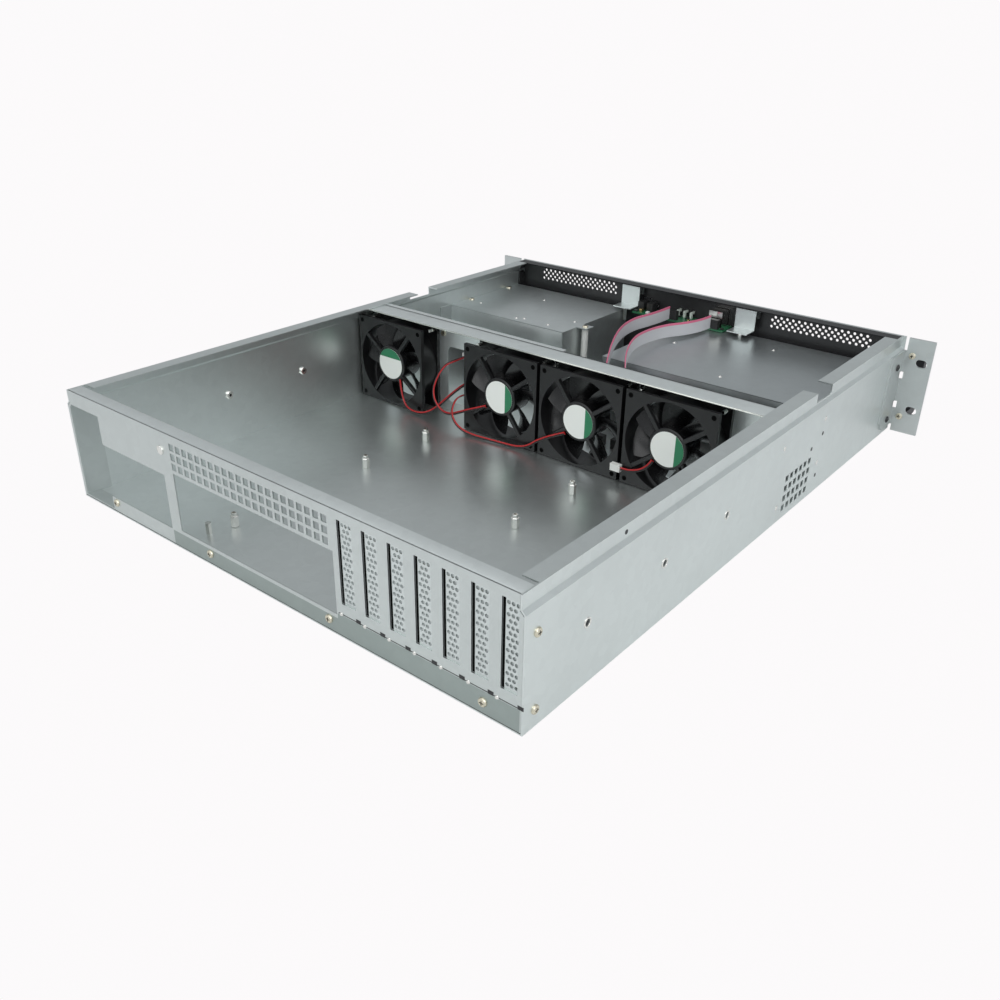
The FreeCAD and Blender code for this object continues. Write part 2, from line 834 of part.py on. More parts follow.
def handle_loop(x, back, reach, low, high, radius):
    """The filled outline of a handle, with two rounded corners at the front."""
    front = back - reach
    points = [Vector(x, back, low)]
    for middle_z, start in ((low + radius, 270.0), (high - radius, 180.0)):
        for step in range(handle_corner_steps + 1):
            angle = math.radians(start - 90.0 * step / handle_corner_steps)
            y = front + radius + radius * math.cos(angle)
            points.append(Vector(x, y, middle_z + radius * math.sin(angle)))
    points.append(Vector(x, back, high))
    return prism(points, X * handle_width)


# Leads. Each route is chosen by hand: X, distance from the rear face and height of each point.
lead_route_1 = [
    (157.5, 289.8, 29.3),
    (153.5, 287.8, 9.0),
    (137.0, 284.0, 3.2),
    (116.0, 286.0, 7.0),
    (98.0, 299.0, 29.0),
    (92.0, 309.0, 36.0),
    (92.0, 321.0, 36.0),
]
lead_route_2 = [
    (52.4, 290.1, 29.7),
    (74.0, 289.2, 20.5),
    (99.0, 286.5, 9.0),
    (119.0, 290.0, 25.0),
    (112.0, 299.0, 51.0),
    (103.0, 309.0, 56.0),
    (103.0, 321.0, 56.0),
]
lead_route_3 = [
    (-33.0, 290.1, 28.3),
    (-10.0, 288.6, 18.0),
    (6.0, 286.0, 3.6),
    (36.0, 284.0, 2.8),
    (70.0, 279.0, 3.4),
    (87.0, 281.5, 14.0),
    (92.0, 294.0, 26.0),
    (91.0, 308.0, 26.0),
    (91.0, 321.0, 26.0),
]
lead_route_4 = [
    (-117.4, 290.0, 29.0),
    (-110.0, 288.9, 14.0),
    (-90.0, 288.9, 14.0),
]
ribbon_route_1 = [
    (10.0, 527.5, 70.8),
    (10.0, 503.0, 70.8),
    (16.0, 458.0, 72.0),
    (-10.0, 390.0, 75.5),
    (-29.0, 350.0, 49.0),
    (-30.0, 344.0, 27.0),
    (-30.0, 344.0, 10.0),
]
ribbon_route_2 = [
    (-36.0, 527.5, 70.8),
    (-36.0, 503.0, 70.8),
    (-14.0, 458.0, 72.0),
    (-24.0, 390.0, 75.5),
    (-53.0, 350.0, 49.0),
    (-55.0, 344.0, 27.0),
    (-55.0, 344.0, 10.0),
]


def lead_solid(name, route, width, thickness, first_across):
    """A flat lead along straight runs joined by tangent arcs; the section turns with the arcs."""
    points = [Vector(x, y_at(d), z) for x, d, z in route]
    runs = [(b - a).Length for a, b in zip(points, points[1:])]
    direction = (points[1] - points[0]).normalize()
    across = (first_across - direction * first_across.dot(direction)).normalize()
    position = points[0]
    section = lead_section(position, direction, across, width, thickness)
    faces = [section]
    radii = []
    path_length = 0.0
    for index in range(1, len(points) - 1):
        following = (points[index + 1] - points[index]).normalize()
        turn = direction.getAngle(following)
        setback = 0.45 * min(runs[index - 1], runs[index])
        radius = setback / math.tan(turn / 2)
        stop = points[index] - direction * setback
        faces += [edge.extrude(stop - position) for edge in section.Edges]
        section = lead_section(stop, direction, across, width, thickness)
        axis = direction.cross(following).normalize()
        center = stop + axis.cross(direction) * radius
        faces += [edge.revolve(center, axis, math.degrees(turn)) for edge in section.Edges]
        path_length += (stop - position).Length + radius * turn
        radii.append(radius)
        across = FreeCAD.Rotation(axis, math.degrees(turn)).multVec(across)
        direction = following
        position = points[index] + direction * setback
        section = lead_section(position, direction, across, width, thickness)
    faces += [edge.extrude(points[-1] - position) for edge in section.Edges]
    faces.append(lead_section(points[-1], direction, across, width, thickness))
    path_length += (points[-1] - position).Length
    shell = Part.Shell(faces)
    shell.sewShape()
    solid = Part.Solid(shell.Shells[0])
    if solid.Volume < 0:
        solid.reverse()
    expected = width * thickness * path_length
    print(name, "length", round(path_length, 1), "radii", [round(r, 1) for r in radii],
          "volume / section x length", round(solid.Volume / expected, 4), "solids", len(solid.Solids))
    return solid


def lead_section(place, direction, across, width, thickness):
    """The flat section of a lead, square to its direction."""
    up = direction.cross(across)
    half = across * (width / 2)
    rise = up * (thickness / 2)
    corners = [place - half - rise, place + half - rise, place + half + rise, place - half + rise]
    return Part.Face(Part.makePolygon(corners + [corners[0]]))


def lead_connector(route, height):
    """The connector in front of the fan wall that a fan lead goes into."""
    x, distance, z = route[-1]
    half = lead_connector_width / 2
    d1 = distance + lead_connector_length
    return block(x - half, x + half, distance, d1, z - height / 2, z + height / 2)


def side_connector(route, height):
    """The connector against the fans' rear faces that the last fan's short lead goes into."""
    x, distance, z = route[-1]
    rear = fan_rear_distance - 2 * (fan_rear_distance - distance)
    return block(x, x + lead_connector_length, rear, fan_rear_distance, z - height / 2, z + height / 2)


def connector_rail():
    """A strip behind the cable hole's edge that carries the three connectors of that hole."""
    d0 = lead_route_1[-1][1] + lead_connector_length
    low = cable_hole_low - rail_margin
    high = cable_hole_high + rail_margin
    plate_start = fan_plate_distance + wall_thickness
    x0 = cable_hole_left_x - rail_width
    x1 = lead_route_2[-1][0] + lead_connector_width / 2
    foot = block(x0, cable_hole_left_x - 1, plate_start, plate_start + sheet, low, high)
    side = block(cable_hole_left_x - 1 - sheet, cable_hole_left_x - 1, plate_start, d0 + sheet, low, high)
    face = block(cable_hole_left_x - 1 - sheet, x1, d0, d0 + sheet, low, high)
    return join([foot, side, face])


def ribbon_connector(route):
    """The connector at the end of a ribbon cable, standing on the floor."""
    x, distance, z = route[-1]
    half = ribbon_connector_width / 2
    half_depth = ribbon_connector_depth / 2
    return block(x - half, x + half, distance - half_depth, distance + half_depth, sheet, z)


def save(name, shapes):
    """Writes one piece, or a group of like pieces, as its own file."""
    group = shapes if isinstance(shapes, list) else [shapes]
    solids = []
    for shape in group:
        solids += shape.Solids
    result = solids[0] if len(solids) == 1 else Part.makeCompound(solids)
    if not result.isValid():
        print("not valid:", name)
    result.exportStep("parts/" + name + ".step")
    print(name, "solids", len(solids), "volume", round(sum(s.Volume for s in solids)))


def main():
    os.makedirs("parts", exist_ok=True)
    save("chassis_tub", chassis_tub())
    save("rear_panel", rear_panel())
    for index, x in enumerate(slot_centers):
        save("slot_cover_" + str(index + 1), slot_cover(x))
    side_screws = mirrored_screws(side_screw_seats, X * -1)
    save("case_screws", panel_screws() + side_screws + cage_screws())
    save("standoffs", standoffs())
    stud_foot = Vector(stud_x, y_at(stud_distance), sheet)
    save("short_stud", rod(6, stud_radius, stud_foot, Z * stud_height))

    for index, x in enumerate(fan_center_x):
        save("fan_frame_" + str(index + 1), fan_frame(x))
        save("fan_impeller_" + str(index + 1), fan_impeller(x))
    save("fan_labels", [fan_label(x) for x in fan_center_x])
    save("fan_wall", fan_wall())
    save("fan_wall_stiffener", fan_wall_stiffener())

    save("drive_cage_right", drive_cage(right_cage_inner_x, right_cage_rear_distance, True))
    save("drive_cage_left", drive_cage(left_cage_inner_x, left_cage_rear_distance, False))
    save("cage_post", cage_post())

    save("front_bezel", front_bezel())
    save("front_subpanel", front_subpanel())
    save("control_board_power", control_board(board_power_x))
    save("control_board_lights", control_board(board_lights_x))
    save("control_board_usb", control_board(board_usb_x))
    save("button_switches", [switch_block(power_button_x), switch_block(reset_button_x)])
    save("power_button", push_button(power_button_x, power_button_radius))
    save("reset_button", push_button(reset_button_x, reset_button_radius))
    save("indicator_lights", indicator_lights())
    save("usb_sockets", usb_sockets())
    save("ribbon_headers", [ribbon_header(route[0][0]) for route in (ribbon_route_1, ribbon_route_2)])
    save("panel_bracket_right", panel_bracket(bracket_right_x))
    save("panel_bracket_left", panel_bracket(bracket_left_x))
    posts = [bracket_post(bracket_right_x, bracket_post_low), bracket_post(bracket_left_x, cage_top)]
    save("bracket_posts", posts)

    ear = rack_ear()
    save("ear_right", ear)
    save("ear_left", mirror_x(ear))
    save("ear_fixing_screws", mirrored_screws(ear_screw_seats(), X * -1))
    bar = handle()
    save("handle_right", bar)
    save("handle_left", mirror_x(bar))
    save("handle_screws", mirrored_screws(handle_screw_seats(), Y * -1))

    leads = (lead_route_1, lead_route_2, lead_route_3, lead_route_4)
    for index, route in enumerate(leads):
        name = "fan_lead_" + str(index + 1)
        save(name, lead_solid(name, route, lead_width, lead_thickness, Z))
    connectors = [lead_connector(route, lead_connector_height) for route in leads[:3]]
    connectors.append(side_connector(lead_route_4, lead_connector_height))
    save("fan_lead_connectors", connectors)
    save("connector_rail", connector_rail())
    ribbons = (ribbon_route_1, ribbon_route_2)
    for index, route in enumerate(ribbons):
        name = "ribbon_cable_" + str(index + 1)
        save(name, lead_solid(name, route, ribbon_width, ribbon_thickness, Z))
    save("ribbon_connectors", [ribbon_connector(route) for route in ribbons])


main()
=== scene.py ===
# %% [markdown]
# # An empty 2U rackmount server case with its lid off
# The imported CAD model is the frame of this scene. This first cell loads it and keeps its size.

import bmesh
import bpy
import math
from mathutils import Matrix, Vector


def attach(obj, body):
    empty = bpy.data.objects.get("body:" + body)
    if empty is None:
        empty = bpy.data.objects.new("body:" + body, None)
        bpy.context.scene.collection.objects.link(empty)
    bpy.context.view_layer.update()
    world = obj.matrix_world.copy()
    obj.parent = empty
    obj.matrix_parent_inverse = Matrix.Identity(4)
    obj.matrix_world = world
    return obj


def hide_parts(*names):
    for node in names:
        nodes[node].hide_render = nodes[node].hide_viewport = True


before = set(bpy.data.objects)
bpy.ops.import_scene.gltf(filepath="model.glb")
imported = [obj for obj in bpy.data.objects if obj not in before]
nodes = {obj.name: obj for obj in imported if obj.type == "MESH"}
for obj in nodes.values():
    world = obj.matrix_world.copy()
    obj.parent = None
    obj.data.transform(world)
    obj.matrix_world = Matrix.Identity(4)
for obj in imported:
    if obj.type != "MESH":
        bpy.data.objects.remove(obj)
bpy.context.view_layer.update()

# %% [markdown]
# Places are given as X, the distance in front of the rear face, and height, all in millimetres,
# because that is how a case is measured on a bench. `place` turns them into metres in the frame.

# %% Sizes
REAR = 292.25
SHEET = 1.0
TOP = 88.0
# The side walls step in a little between two heights near their top.
SIDE_OUTER = 215.0
SIDE_INNER = 213.9
SIDE_INNER_HIGH = 211.4
KNEE_LOW = 75.5
KNEE_HIGH = 78.0
CAGE_TOP = 62.0

FAN_X = (170.0, 38.5, -45.0, -128.5)
FAN_Z = 41.5
FAN_REAR = 291.0
FAN_FRONT = 316.0
FAN_HALF = 40.0
FAN_LOW = FAN_Z - FAN_HALF
FAN_HIGH = FAN_Z + FAN_HALF
FAN_HOLE_OFFSET = 35.75
FAN_HOLE_RADIUS = 2.1
FLANGE = 3.6
DUCT_RADIUS = 38.0
DUCT_OUTER = 39.3
DUCT_SIDES = 64
HUB_RADIUS = 17.0
LABEL_RADIUS = 14.5
BLADES = 7

SLOTS = 7
SLOT_X = [-84.0 - 20.32 * index for index in range(SLOTS)]
SLOT_HALF = 6.1
SLOT_LOW = 25.0
SLOT_HIGH = 82.5

TO_FRONT = Vector((0, -1, 0))
TO_REAR = Vector((0, 1, 0))
UP = Vector((0, 0, 1))


def place(x, distance, z):
    """A point in the frame, in metres."""
    return Vector((x, REAR - distance, z)) / 1000.0


# %% [markdown]
# The photo was taken from behind the case, above its left rear corner. The camera's place and
# turn come from fitting the case's corners, screws and slots to where the photo shows them.

# %% Camera
SENSOR = 36.0
PHOTO_PIXELS = 1000.0
FOCAL_PIXELS = 957.0
EYE = (-449.3, -315.1, 344.2)
RIGHT = Vector((-0.776076, -0.630459, 0.015091))
DOWN = Vector((-0.300380, 0.348506, -0.887871))
FORWARD = Vector((0.554507, -0.693589, -0.459845))

camera_data = bpy.data.cameras.new("camera")
camera_data.sensor_width = SENSOR
camera_data.lens = SENSOR * FOCAL_PIXELS / PHOTO_PIXELS
camera_data.clip_end = 50.0
camera = bpy.data.objects.new("camera", camera_data)
turn = Matrix((RIGHT, -DOWN, -FORWARD)).transposed().to_4x4()
camera.matrix_world = Matrix.Translation(place(*EYE)) @ turn
bpy.context.scene.collection.objects.link(camera)
bpy.context.scene.camera = camera

# %% [markdown]
# Each material is a small tree of nodes. The sheet metal is galvanised: the zinc has frozen in
# patches, so a cell pattern shifts its brightness and its roughness a little from patch to patch.
# The folds, ears and cages catch the light differently, so each group has its own tone: painted light
# and shade on one zinc sheet.

# %% Materials


def shader(name, colour, rough, metallic=0.0, coat=0.0):
    """A plain material and its main shader."""
    material = bpy.data.materials.new(name)
    material.use_nodes = True
    main = material.node_tree.nodes["Principled BSDF"]
    main.inputs["Base Color"].default_value = (*colour, 1.0)
    main.inputs["Roughness"].default_value = rough
    main.inputs["Metallic"].default_value = metallic
    main.inputs["Coat Weight"].default_value = coat
    return material, main


def grained(name, colour, rough, metallic=0.0, grain=400.0, depth=0.0, spread=0.1, coat=0.0):
    """A material whose colour and roughness vary with a fine noise in the piece's own space."""
    material, main = shader(name, colour, rough, metallic, coat)
    tree = material.node_tree
    place_node = tree.nodes.new("ShaderNodeTexCoord")
    noise = tree.nodes.new("ShaderNodeTexNoise")
    noise.inputs["Scale"].default_value = grain
    noise.inputs["Detail"].default_value = 4.0
    ramp = tree.nodes.new("ShaderNodeMapRange")
    ramp.inputs["To Min"].default_value = max(rough - spread, 0.02)
    ramp.inputs["To Max"].default_value = min(rough + spread, 1.0)
    tree.links.new(place_node.outputs["Object"], noise.inputs["Vector"])
    tree.links.new(noise.outputs["Fac"], ramp.inputs["Value"])
    tree.links.new(ramp.outputs["Result"], main.inputs["Roughness"])
    if depth:
        bump = tree.nodes.new("ShaderNodeBump")
        bump.inputs["Strength"].default_value = 0.5
        bump.inputs["Distance"].default_value = depth
        tree.links.new(noise.outputs["Fac"], bump.inputs["Height"])
        tree.links.new(bump.outputs["Normal"], main.inputs["Normal"])
    return material


ZINC_METALLIC = 0.92
PATCH_SCALE = 170.0
PATCH_SHARE = 0.30
CLOUD_SCALE = 9.0
BEZEL_EDGE = 549.55


def galvanised(name, colour, rough):
    """Zinc-coated sheet: small patches of crystals on broad, faint clouds."""
    material, main = shader(name, colour, rough, ZINC_METALLIC)
    tree = material.node_tree
    place_node = tree.nodes.new("ShaderNodeTexCoord")
    cells = tree.nodes.new("ShaderNodeTexVoronoi")
    cells.inputs["Scale"].default_value = PATCH_SCALE
    cells.inputs["Randomness"].default_value = 1.0
    clouds = tree.nodes.new("ShaderNodeTexNoise")
    clouds.inputs["Scale"].default_value = CLOUD_SCALE
    clouds.inputs["Detail"].default_value = 3.0
    grey = tree.nodes.new("ShaderNodeRGBToBW")
    both = tree.nodes.new("ShaderNodeMath")
    both.operation = "MULTIPLY_ADD"
    both.inputs[1].default_value = PATCH_SHARE
    tint = tree.nodes.new("ShaderNodeMixRGB")
    tint.inputs["Color1"].default_value = tuple(0.90 * part for part in colour) + (1.0,)
    tint.inputs["Color2"].default_value = tuple(min(1.08 * part, 1.0) for part in colour) + (1.0,)
    rough_range = tree.nodes.new("ShaderNodeMapRange")
    rough_range.inputs["To Min"].default_value = rough - 0.03
    rough_range.inputs["To Max"].default_value = rough + 0.05
    bump = tree.nodes.new("ShaderNodeBump")
    bump.inputs["Strength"].default_value = 0.08
    bump.inputs["Distance"].default_value = 0.0002
    tree.links.new(place_node.outputs["Object"], cells.inputs["Vector"])
    tree.links.new(place_node.outputs["Object"], clouds.inputs["Vector"])
    tree.links.new(cells.outputs["Color"], grey.inputs["Color"])
    tree.links.new(grey.outputs["Val"], both.inputs[0])
    tree.links.new(clouds.outputs["Fac"], both.inputs[2])
    tree.links.new(both.outputs["Value"], tint.inputs["Fac"])
    tree.links.new(tint.outputs["Color"], main.inputs["Base Color"])
    tree.links.new(both.outputs["Value"], rough_range.inputs["Value"])
    tree.links.new(rough_range.outputs["Result"], main.inputs["Roughness"])
    tree.links.new(clouds.outputs["Fac"], bump.inputs["Height"])
    tree.links.new(bump.outputs["Normal"], main.inputs["Normal"])
    return material


def paint_behind(material, limit):
    """Paints a sheet dark where its Y is over a limit, so that the edge in front stays bare."""
    tree = material.node_tree
    main = tree.nodes["Principled BSDF"]
    place_node = tree.nodes.new("ShaderNodeTexCoord")
    axes = tree.nodes.new("ShaderNodeSeparateXYZ")
    behind = tree.nodes.new("ShaderNodeMath")
    behind.operation = "GREATER_THAN"
    behind.inputs[1].default_value = limit
    painted = tree.nodes.new("ShaderNodeMixRGB")
    painted.inputs["Color2"].default_value = (0.03, 0.03, 0.032, 1.0)
    bare = main.inputs["Base Color"].links[0].from_socket
    tree.links.new(place_node.outputs["Object"], axes.inputs["Vector"])
    tree.links.new(axes.outputs["Y"], behind.inputs[0])
    tree.links.new(behind.outputs["Value"], painted.inputs["Fac"])
    tree.links.new(bare, painted.inputs["Color1"])
    tree.links.new(painted.outputs["Color"], main.inputs["Base Color"])


zinc = galvanised("zinc sheet", (0.575, 0.61, 0.60), 0.30)
zinc_dark = galvanised("zinc sheet, low strip", (0.34, 0.385, 0.37), 0.32)
zinc_pale = galvanised("zinc sheet, pale", (0.63, 0.668, 0.66), 0.34)
zinc_tub = galvanised("zinc sheet, tub", (0.67, 0.71, 0.70), 0.30)
zinc_ear = galvanised("zinc sheet, ears", (0.57, 0.60, 0.595), 0.34)
# Painted light: the folds take a lighter copy of the zinc sheet.
zinc_painted_light_folds = galvanised("zinc sheet, lit folds", (0.76, 0.80, 0.79), 0.40)
# Painted light and shade: the two cages are a lighter and a darker copy of one zinc sheet.
zinc_painted_light_cage = galvanised("zinc sheet, right cage", (0.68, 0.72, 0.715), 0.34)
zinc_painted_shade_cage = galvanised("zinc sheet, left cage", (0.50, 0.535, 0.54), 0.32)
zinc_bezel = galvanised("zinc sheet, bezel", (0.63, 0.668, 0.66), 0.34)
paint_behind(zinc_bezel, place(0, BEZEL_EDGE, 0).y)
black_paint = grained("black paint", (0.014, 0.014, 0.015), 0.42, grain=900.0, depth=0.00005)
fan_black = grained("fan moulding", (0.004, 0.004, 0.0045), 0.36, grain=700.0, depth=0.00003)
blade_black = grained("fan blades", (0.005, 0.005, 0.0055), 0.26, grain=300.0, spread=0.05)
label_white = grained("label white", (0.80, 0.82, 0.78), 0.5, grain=500.0)
label_green = grained("label green", (0.02, 0.19, 0.085), 0.5, grain=500.0)
brass_tint = grained("yellow zinc", (0.70, 0.65, 0.52), 0.28, metallic=1.0, grain=600.0, spread=0.08)
dark_steel_and_painted_shade = grained("dark steel", (0.05, 0.05, 0.052), 0.35, metallic=0.8)
nickel = grained("nickel", (0.82, 0.81, 0.77), 0.16, metallic=1.0, spread=0.05)
nylon = grained("white nylon", (0.72, 0.72, 0.69), 0.4, coat=0.2)
plug_black = grained("black plug", (0.016, 0.016, 0.016), 0.45)
button_plastic = grained("button", (0.03, 0.03, 0.033), 0.2, spread=0.05)
light_plastic = grained("light pipe", (0.62, 0.68, 0.62), 0.25)
board_green = grained("board", (0.018, 0.13, 0.055), 0.3, grain=250.0, coat=0.4)
lead_red = grained("red lead", (0.42, 0.012, 0.014), 0.38)
lead_black = grained("black lead", (0.012, 0.012, 0.012), 0.4)
ribbon_grey = grained("ribbon grey", (0.50, 0.50, 0.52), 0.45, spread=0.05)
ribbon_pink = grained("ribbon stripe", (0.62, 0.14, 0.24), 0.45)
# A dead black with no shine, used as painted shade in holes, recesses and gaps.
painted_shade_black, recess_shader = shader("recess", (0.004, 0.004, 0.004), 0.9)
recess_shader.inputs["Specular IOR Level"].default_value = 0.0
gold = grained("contact", (0.72, 0.55, 0.25), 0.25, metallic=1.0)

# %% [markdown]
# Every CAD node gets its finish here, chosen by the start of its name.

# %% Finishes of the CAD nodes
FINISHES = (
    ("chassis_tub", zinc_tub), ("rear_panel", zinc), ("slot_cover", zinc_pale), ("fan_wall", zinc_painted_light_folds),
    ("drive_cage_left", zinc_painted_shade_cage), ("drive_cage", zinc_painted_light_cage), ("connector_rail", zinc),
    ("front_bezel", zinc_bezel), ("panel_bracket", zinc_pale), ("ear_fixing", dark_steel_and_painted_shade),
    ("ear_", zinc_ear), ("front_subpanel", black_paint), ("handle_s", brass_tint),
    ("handle_", black_paint), ("fan_frame", fan_black), ("fan_impeller", blade_black),
    ("fan_labels", label_white), ("case_screws", brass_tint), ("standoffs", nickel),
    ("bracket_posts", nickel), ("short_stud", nickel), ("cage_post", nylon),
    ("control_board", board_green), ("fan_lead_con", nylon), ("fan_lead", lead_red),
    ("ribbon_cable", ribbon_grey), ("ribbon_con", plug_black), ("ribbon_head", plug_black),
    ("button_switches", plug_black), ("usb_sockets", nickel), ("power_button", button_plastic),
    ("reset_button", button_plastic), ("indicator_lights", light_plastic),
)
for name, node in nodes.items():
    finish = next(material for start, material in FINISHES if name.startswith(start))
    if not node.material_slots:
        node.data.materials.append(finish)
    for entry in node.material_slots:
        entry.material = finish

# %% [markdown]
# The helpers below build meshes. Each finished piece is one object at the origin that rides a body
# of the frame and carries its own materials.

# %% Mesh helpers


def finish_piece(name, bm, materials, body="case", smooth=35.0):
    """Turns a built mesh into a piece of the object."""
    bmesh.ops.recalc_face_normals(bm, faces=bm.faces)
    mesh = bpy.data.meshes.new(name)
    bm.to_mesh(mesh)
    bm.free()
    for material in materials:
        mesh.materials.append(material)
    mesh.shade_smooth()
    mesh.set_sharp_from_angle(angle=math.radians(smooth))
    piece = bpy.data.objects.new(name, mesh)
    bpy.context.scene.collection.objects.link(piece)
    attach(piece, body)
    return piece


def add_box(bm, x0, x1, d0, d1, z0, z1, material=0, bevel=0.0):
    """A box, with its edges rounded by that many millimetres."""
    low = place(min(x0, x1), max(d0, d1), min(z0, z1))
    high = place(max(x0, x1), min(d0, d1), max(z0, z1))
    made = bmesh.ops.create_cube(bm, size=1.0)["verts"]
    middle = (low + high) / 2
    span = high - low
    for vert in made:
        vert.co = Vector(m + c * s for m, c, s in zip(middle, vert.co, span))
    faces = {face for vert in made for face in vert.link_faces}
    for face in faces:
        face.material_index = material
    if bevel:
        edges = list({edge for face in faces for edge in face.edges})
        bmesh.ops.bevel(bm, geom=edges, offset=bevel / 1000.0, segments=2, profile=0.5,
                        affect="EDGES", material=-1)


def axes_across(axis):
    """Two directions square to an axis and to each other."""
    axis = Vector(axis).normalized()
    helper = UP if abs(axis.z) < 0.9 else Vector((1, 0, 0))
    first = axis.cross(helper).normalized()
    return first, axis.cross(first).normalized()


def add_turned(bm, start, axis, profile, sides=24, material=0):
    """A turned shape: a profile of (radius, height) pairs in millimetres, swept round an axis."""
    axis = Vector(axis).normalized()
    first, second = axes_across(axis)
    rings = []
    for radius, height in profile:
        centre = start + axis * (height / 1000.0)
        if radius <= 0:
            rings.append([bm.verts.new(centre)])
            continue
        ring = []
        for index in range(sides):
            angle = 2 * math.pi * index / sides
            out = first * math.cos(angle) + second * math.sin(angle)
            ring.append(bm.verts.new(centre + out * (radius / 1000.0)))
        rings.append(ring)
    for low, high in zip(rings, rings[1:]):
        for index in range(sides):
            after = (index + 1) % sides
            corners = [low[index % len(low)], low[after % len(low)],
                       high[after % len(high)], high[index % len(high)]]
            corners = list(dict.fromkeys(corners))
            if len(corners) > 2:
                bm.faces.new(corners).material_index = material


def add_slab(bm, outlines, d0, d1, material=0):
    """Flat outlines of (x, z) points that share corners, pushed from one distance to another."""
    corners = {}
    faces = []
    for outline in outlines:
        ring = []
        for x, z in outline:
            key = (round(x, 3), round(z, 3))
            if key not in corners:
                corners[key] = bm.verts.new(place(x, d0, z))
            ring.append(corners[key])
        face = bm.faces.new(ring)
        face.material_index = material
        faces.append(face)
    grown = bmesh.ops.extrude_face_region(bm, geom=faces, use_keep_orig=True)
    moved = [item for item in grown["geom"] if isinstance(item, bmesh.types.BMVert)]
    bmesh.ops.translate(bm, verts=moved, vec=place(0, d1, 0) - place(0, d0, 0))


def rectangle(x0, x1, z0, z1):
    """The outline of a rectangle."""
    return [(x0, z0), (x1, z0), (x1, z1), (x0, z1)]


HOLE_SIDES = 8


def perforation(x0, x1, z0, z1, columns, rows, radius):
    """Outlines that fill a rectangle, less round holes in rows that are shifted by half a step."""
    half_x = (x1 - x0) / columns / 2
    half_z = (z1 - z0) / rows / 2
    outlines = []
    for row in range(rows):
        centre_z = z0 + half_z * (2 * row + 1)
        count = columns - row % 2
        first_x = x0 + half_x * (1 + row % 2)
        if row % 2:
            outlines.append(rectangle(x0, x0 + half_x, centre_z - half_z, centre_z + half_z))
            outlines.append(rectangle(x1 - half_x, x1, centre_z - half_z, centre_z + half_z))
        for column in range(count):
            centre_x = first_x + 2 * half_x * column
            # Each hole's rim is joined to the corners and the middles of the sides of its cell.
            rim = []
            edge = []
            for step in range(HOLE_SIDES):
                angle = 2 * math.pi * step / HOLE_SIDES
                side_x = round(1.42 * math.cos(angle))
                side_z = round(1.42 * math.sin(angle))
                edge.append((centre_x + half_x * side_x, centre_z + half_z * side_z))
                rim.append((centre_x + radius * math.cos(angle), centre_z + radius * math.sin(angle)))
            for step in range(HOLE_SIDES):
                after = (step + 1) % HOLE_SIDES
                outlines.append([edge[step], edge[after], rim[after], rim[step]])
    return outlines


HEAD_RADIUS = 3.0
HEAD_HEIGHT = 1.5


def add_screw(bm, seat, into):
    """A pan head with a cross recess drawn as a dark cross of painted shade, its washer face on the
    seat.
    """
    out = -into
    profile = [(0.0, 0.0), (HEAD_RADIUS, 0.0), (HEAD_RADIUS, 0.35 * HEAD_HEIGHT),
               (0.86 * HEAD_RADIUS, 0.75 * HEAD_HEIGHT), (0.55 * HEAD_RADIUS, 0.97 * HEAD_HEIGHT),
               (0.0, HEAD_HEIGHT)]
    add_turned(bm, seat, out, profile, 20)
    first, second = axes_across(out)
    top = seat + out * (HEAD_HEIGHT * 0.0009)
    # The cross recess is two dark boxes, painted shade.
    for along, across in ((first, second), (second, first)):
        rises = (out * -0.0004, out * (HEAD_HEIGHT * 0.0001))
        arms = (along * HEAD_RADIUS * 0.00052, along * HEAD_RADIUS * -0.00052)
        widths = (across * 0.0003, across * -0.0003)
        ring = [top + rises[1] + arm + width for arm in arms for width in widths]
        sunk = [top + rises[0] + arm + width for arm in arms for width in widths]
        verts = [bm.verts.new(point) for point in ring + sunk]
        for face in ((0, 1, 3, 2), (4, 5, 7, 6), (0, 1, 5, 4),
                     (2, 3, 7, 6), (0, 2, 6, 4), (1, 3, 7, 5)):
            bm.faces.new([verts[index] for index in face]).material_index = 1


# %% [markdown]
# The cords come early because everything else is placed round them. Each route is listed
# point by point, and a curve of the third order rounds it. A fan's lead is a red and a black
# strand side by side; the two ribbon cables are flat, with a pink stripe along one edge.

# %% Cords
LEADS = {
    "fan_lead_1": [(157.5, 289.8, 29.3), (153.5, 287.8, 9.0), (137.0, 284.0, 3.2),
                   (116.0, 286.0, 7.0), (98.0, 299.0, 29.0), (92.0, 309.0, 36.0), (92.0, 321.0, 36.0)],
    "fan_lead_2": [(52.4, 290.1, 29.7), (74.0, 289.2, 20.5), (99.0, 286.5, 9.0),
                   (119.0, 290.0, 25.0), (112.0, 299.0, 51.0), (103.0, 309.0, 56.0),
                   (103.0, 321.0, 56.0)],
    "fan_lead_3": [(-33.0, 290.1, 28.3), (-10.0, 288.6, 18.0), (6.0, 286.0, 3.6),
                   (36.0, 284.0, 2.8), (70.0, 279.0, 3.4), (87.0, 281.5, 14.0), (92.0, 294.0, 26.0),
                   (91.0, 308.0, 26.0), (91.0, 321.0, 26.0)],
    "fan_lead_4": [(-117.4, 290.0, 29.0), (-110.0, 288.9, 14.0), (-90.0, 288.9, 14.0)],
}
RIBBONS = {
    "ribbon_cable_1": [(10.0, 527.5, 70.8), (10.0, 503.0, 70.8), (16.0, 458.0, 72.0),
                       (-10.0, 390.0, 75.5), (-29.0, 350.0, 49.0), (-30.0, 344.0, 27.0),
                       (-30.0, 344.0, 10.0)],
    "ribbon_cable_2": [(-36.0, 527.5, 70.8), (-36.0, 503.0, 70.8), (-14.0, 458.0, 72.0),
                       (-24.0, 390.0, 75.5), (-53.0, 350.0, 49.0), (-55.0, 344.0, 27.0),
                       (-55.0, 344.0, 10.0)],
}
# These are in metres, as the sections below are built straight in the frame.
STRAND_RADIUS = 0.0007
STRAND_SIDES = 10
RIBBON_HALF_WIDTH = 0.0065
RIBBON_CORES = 10
RIBBON_RIDGE = 0.0005
RIBBON_GROOVE = 0.0003


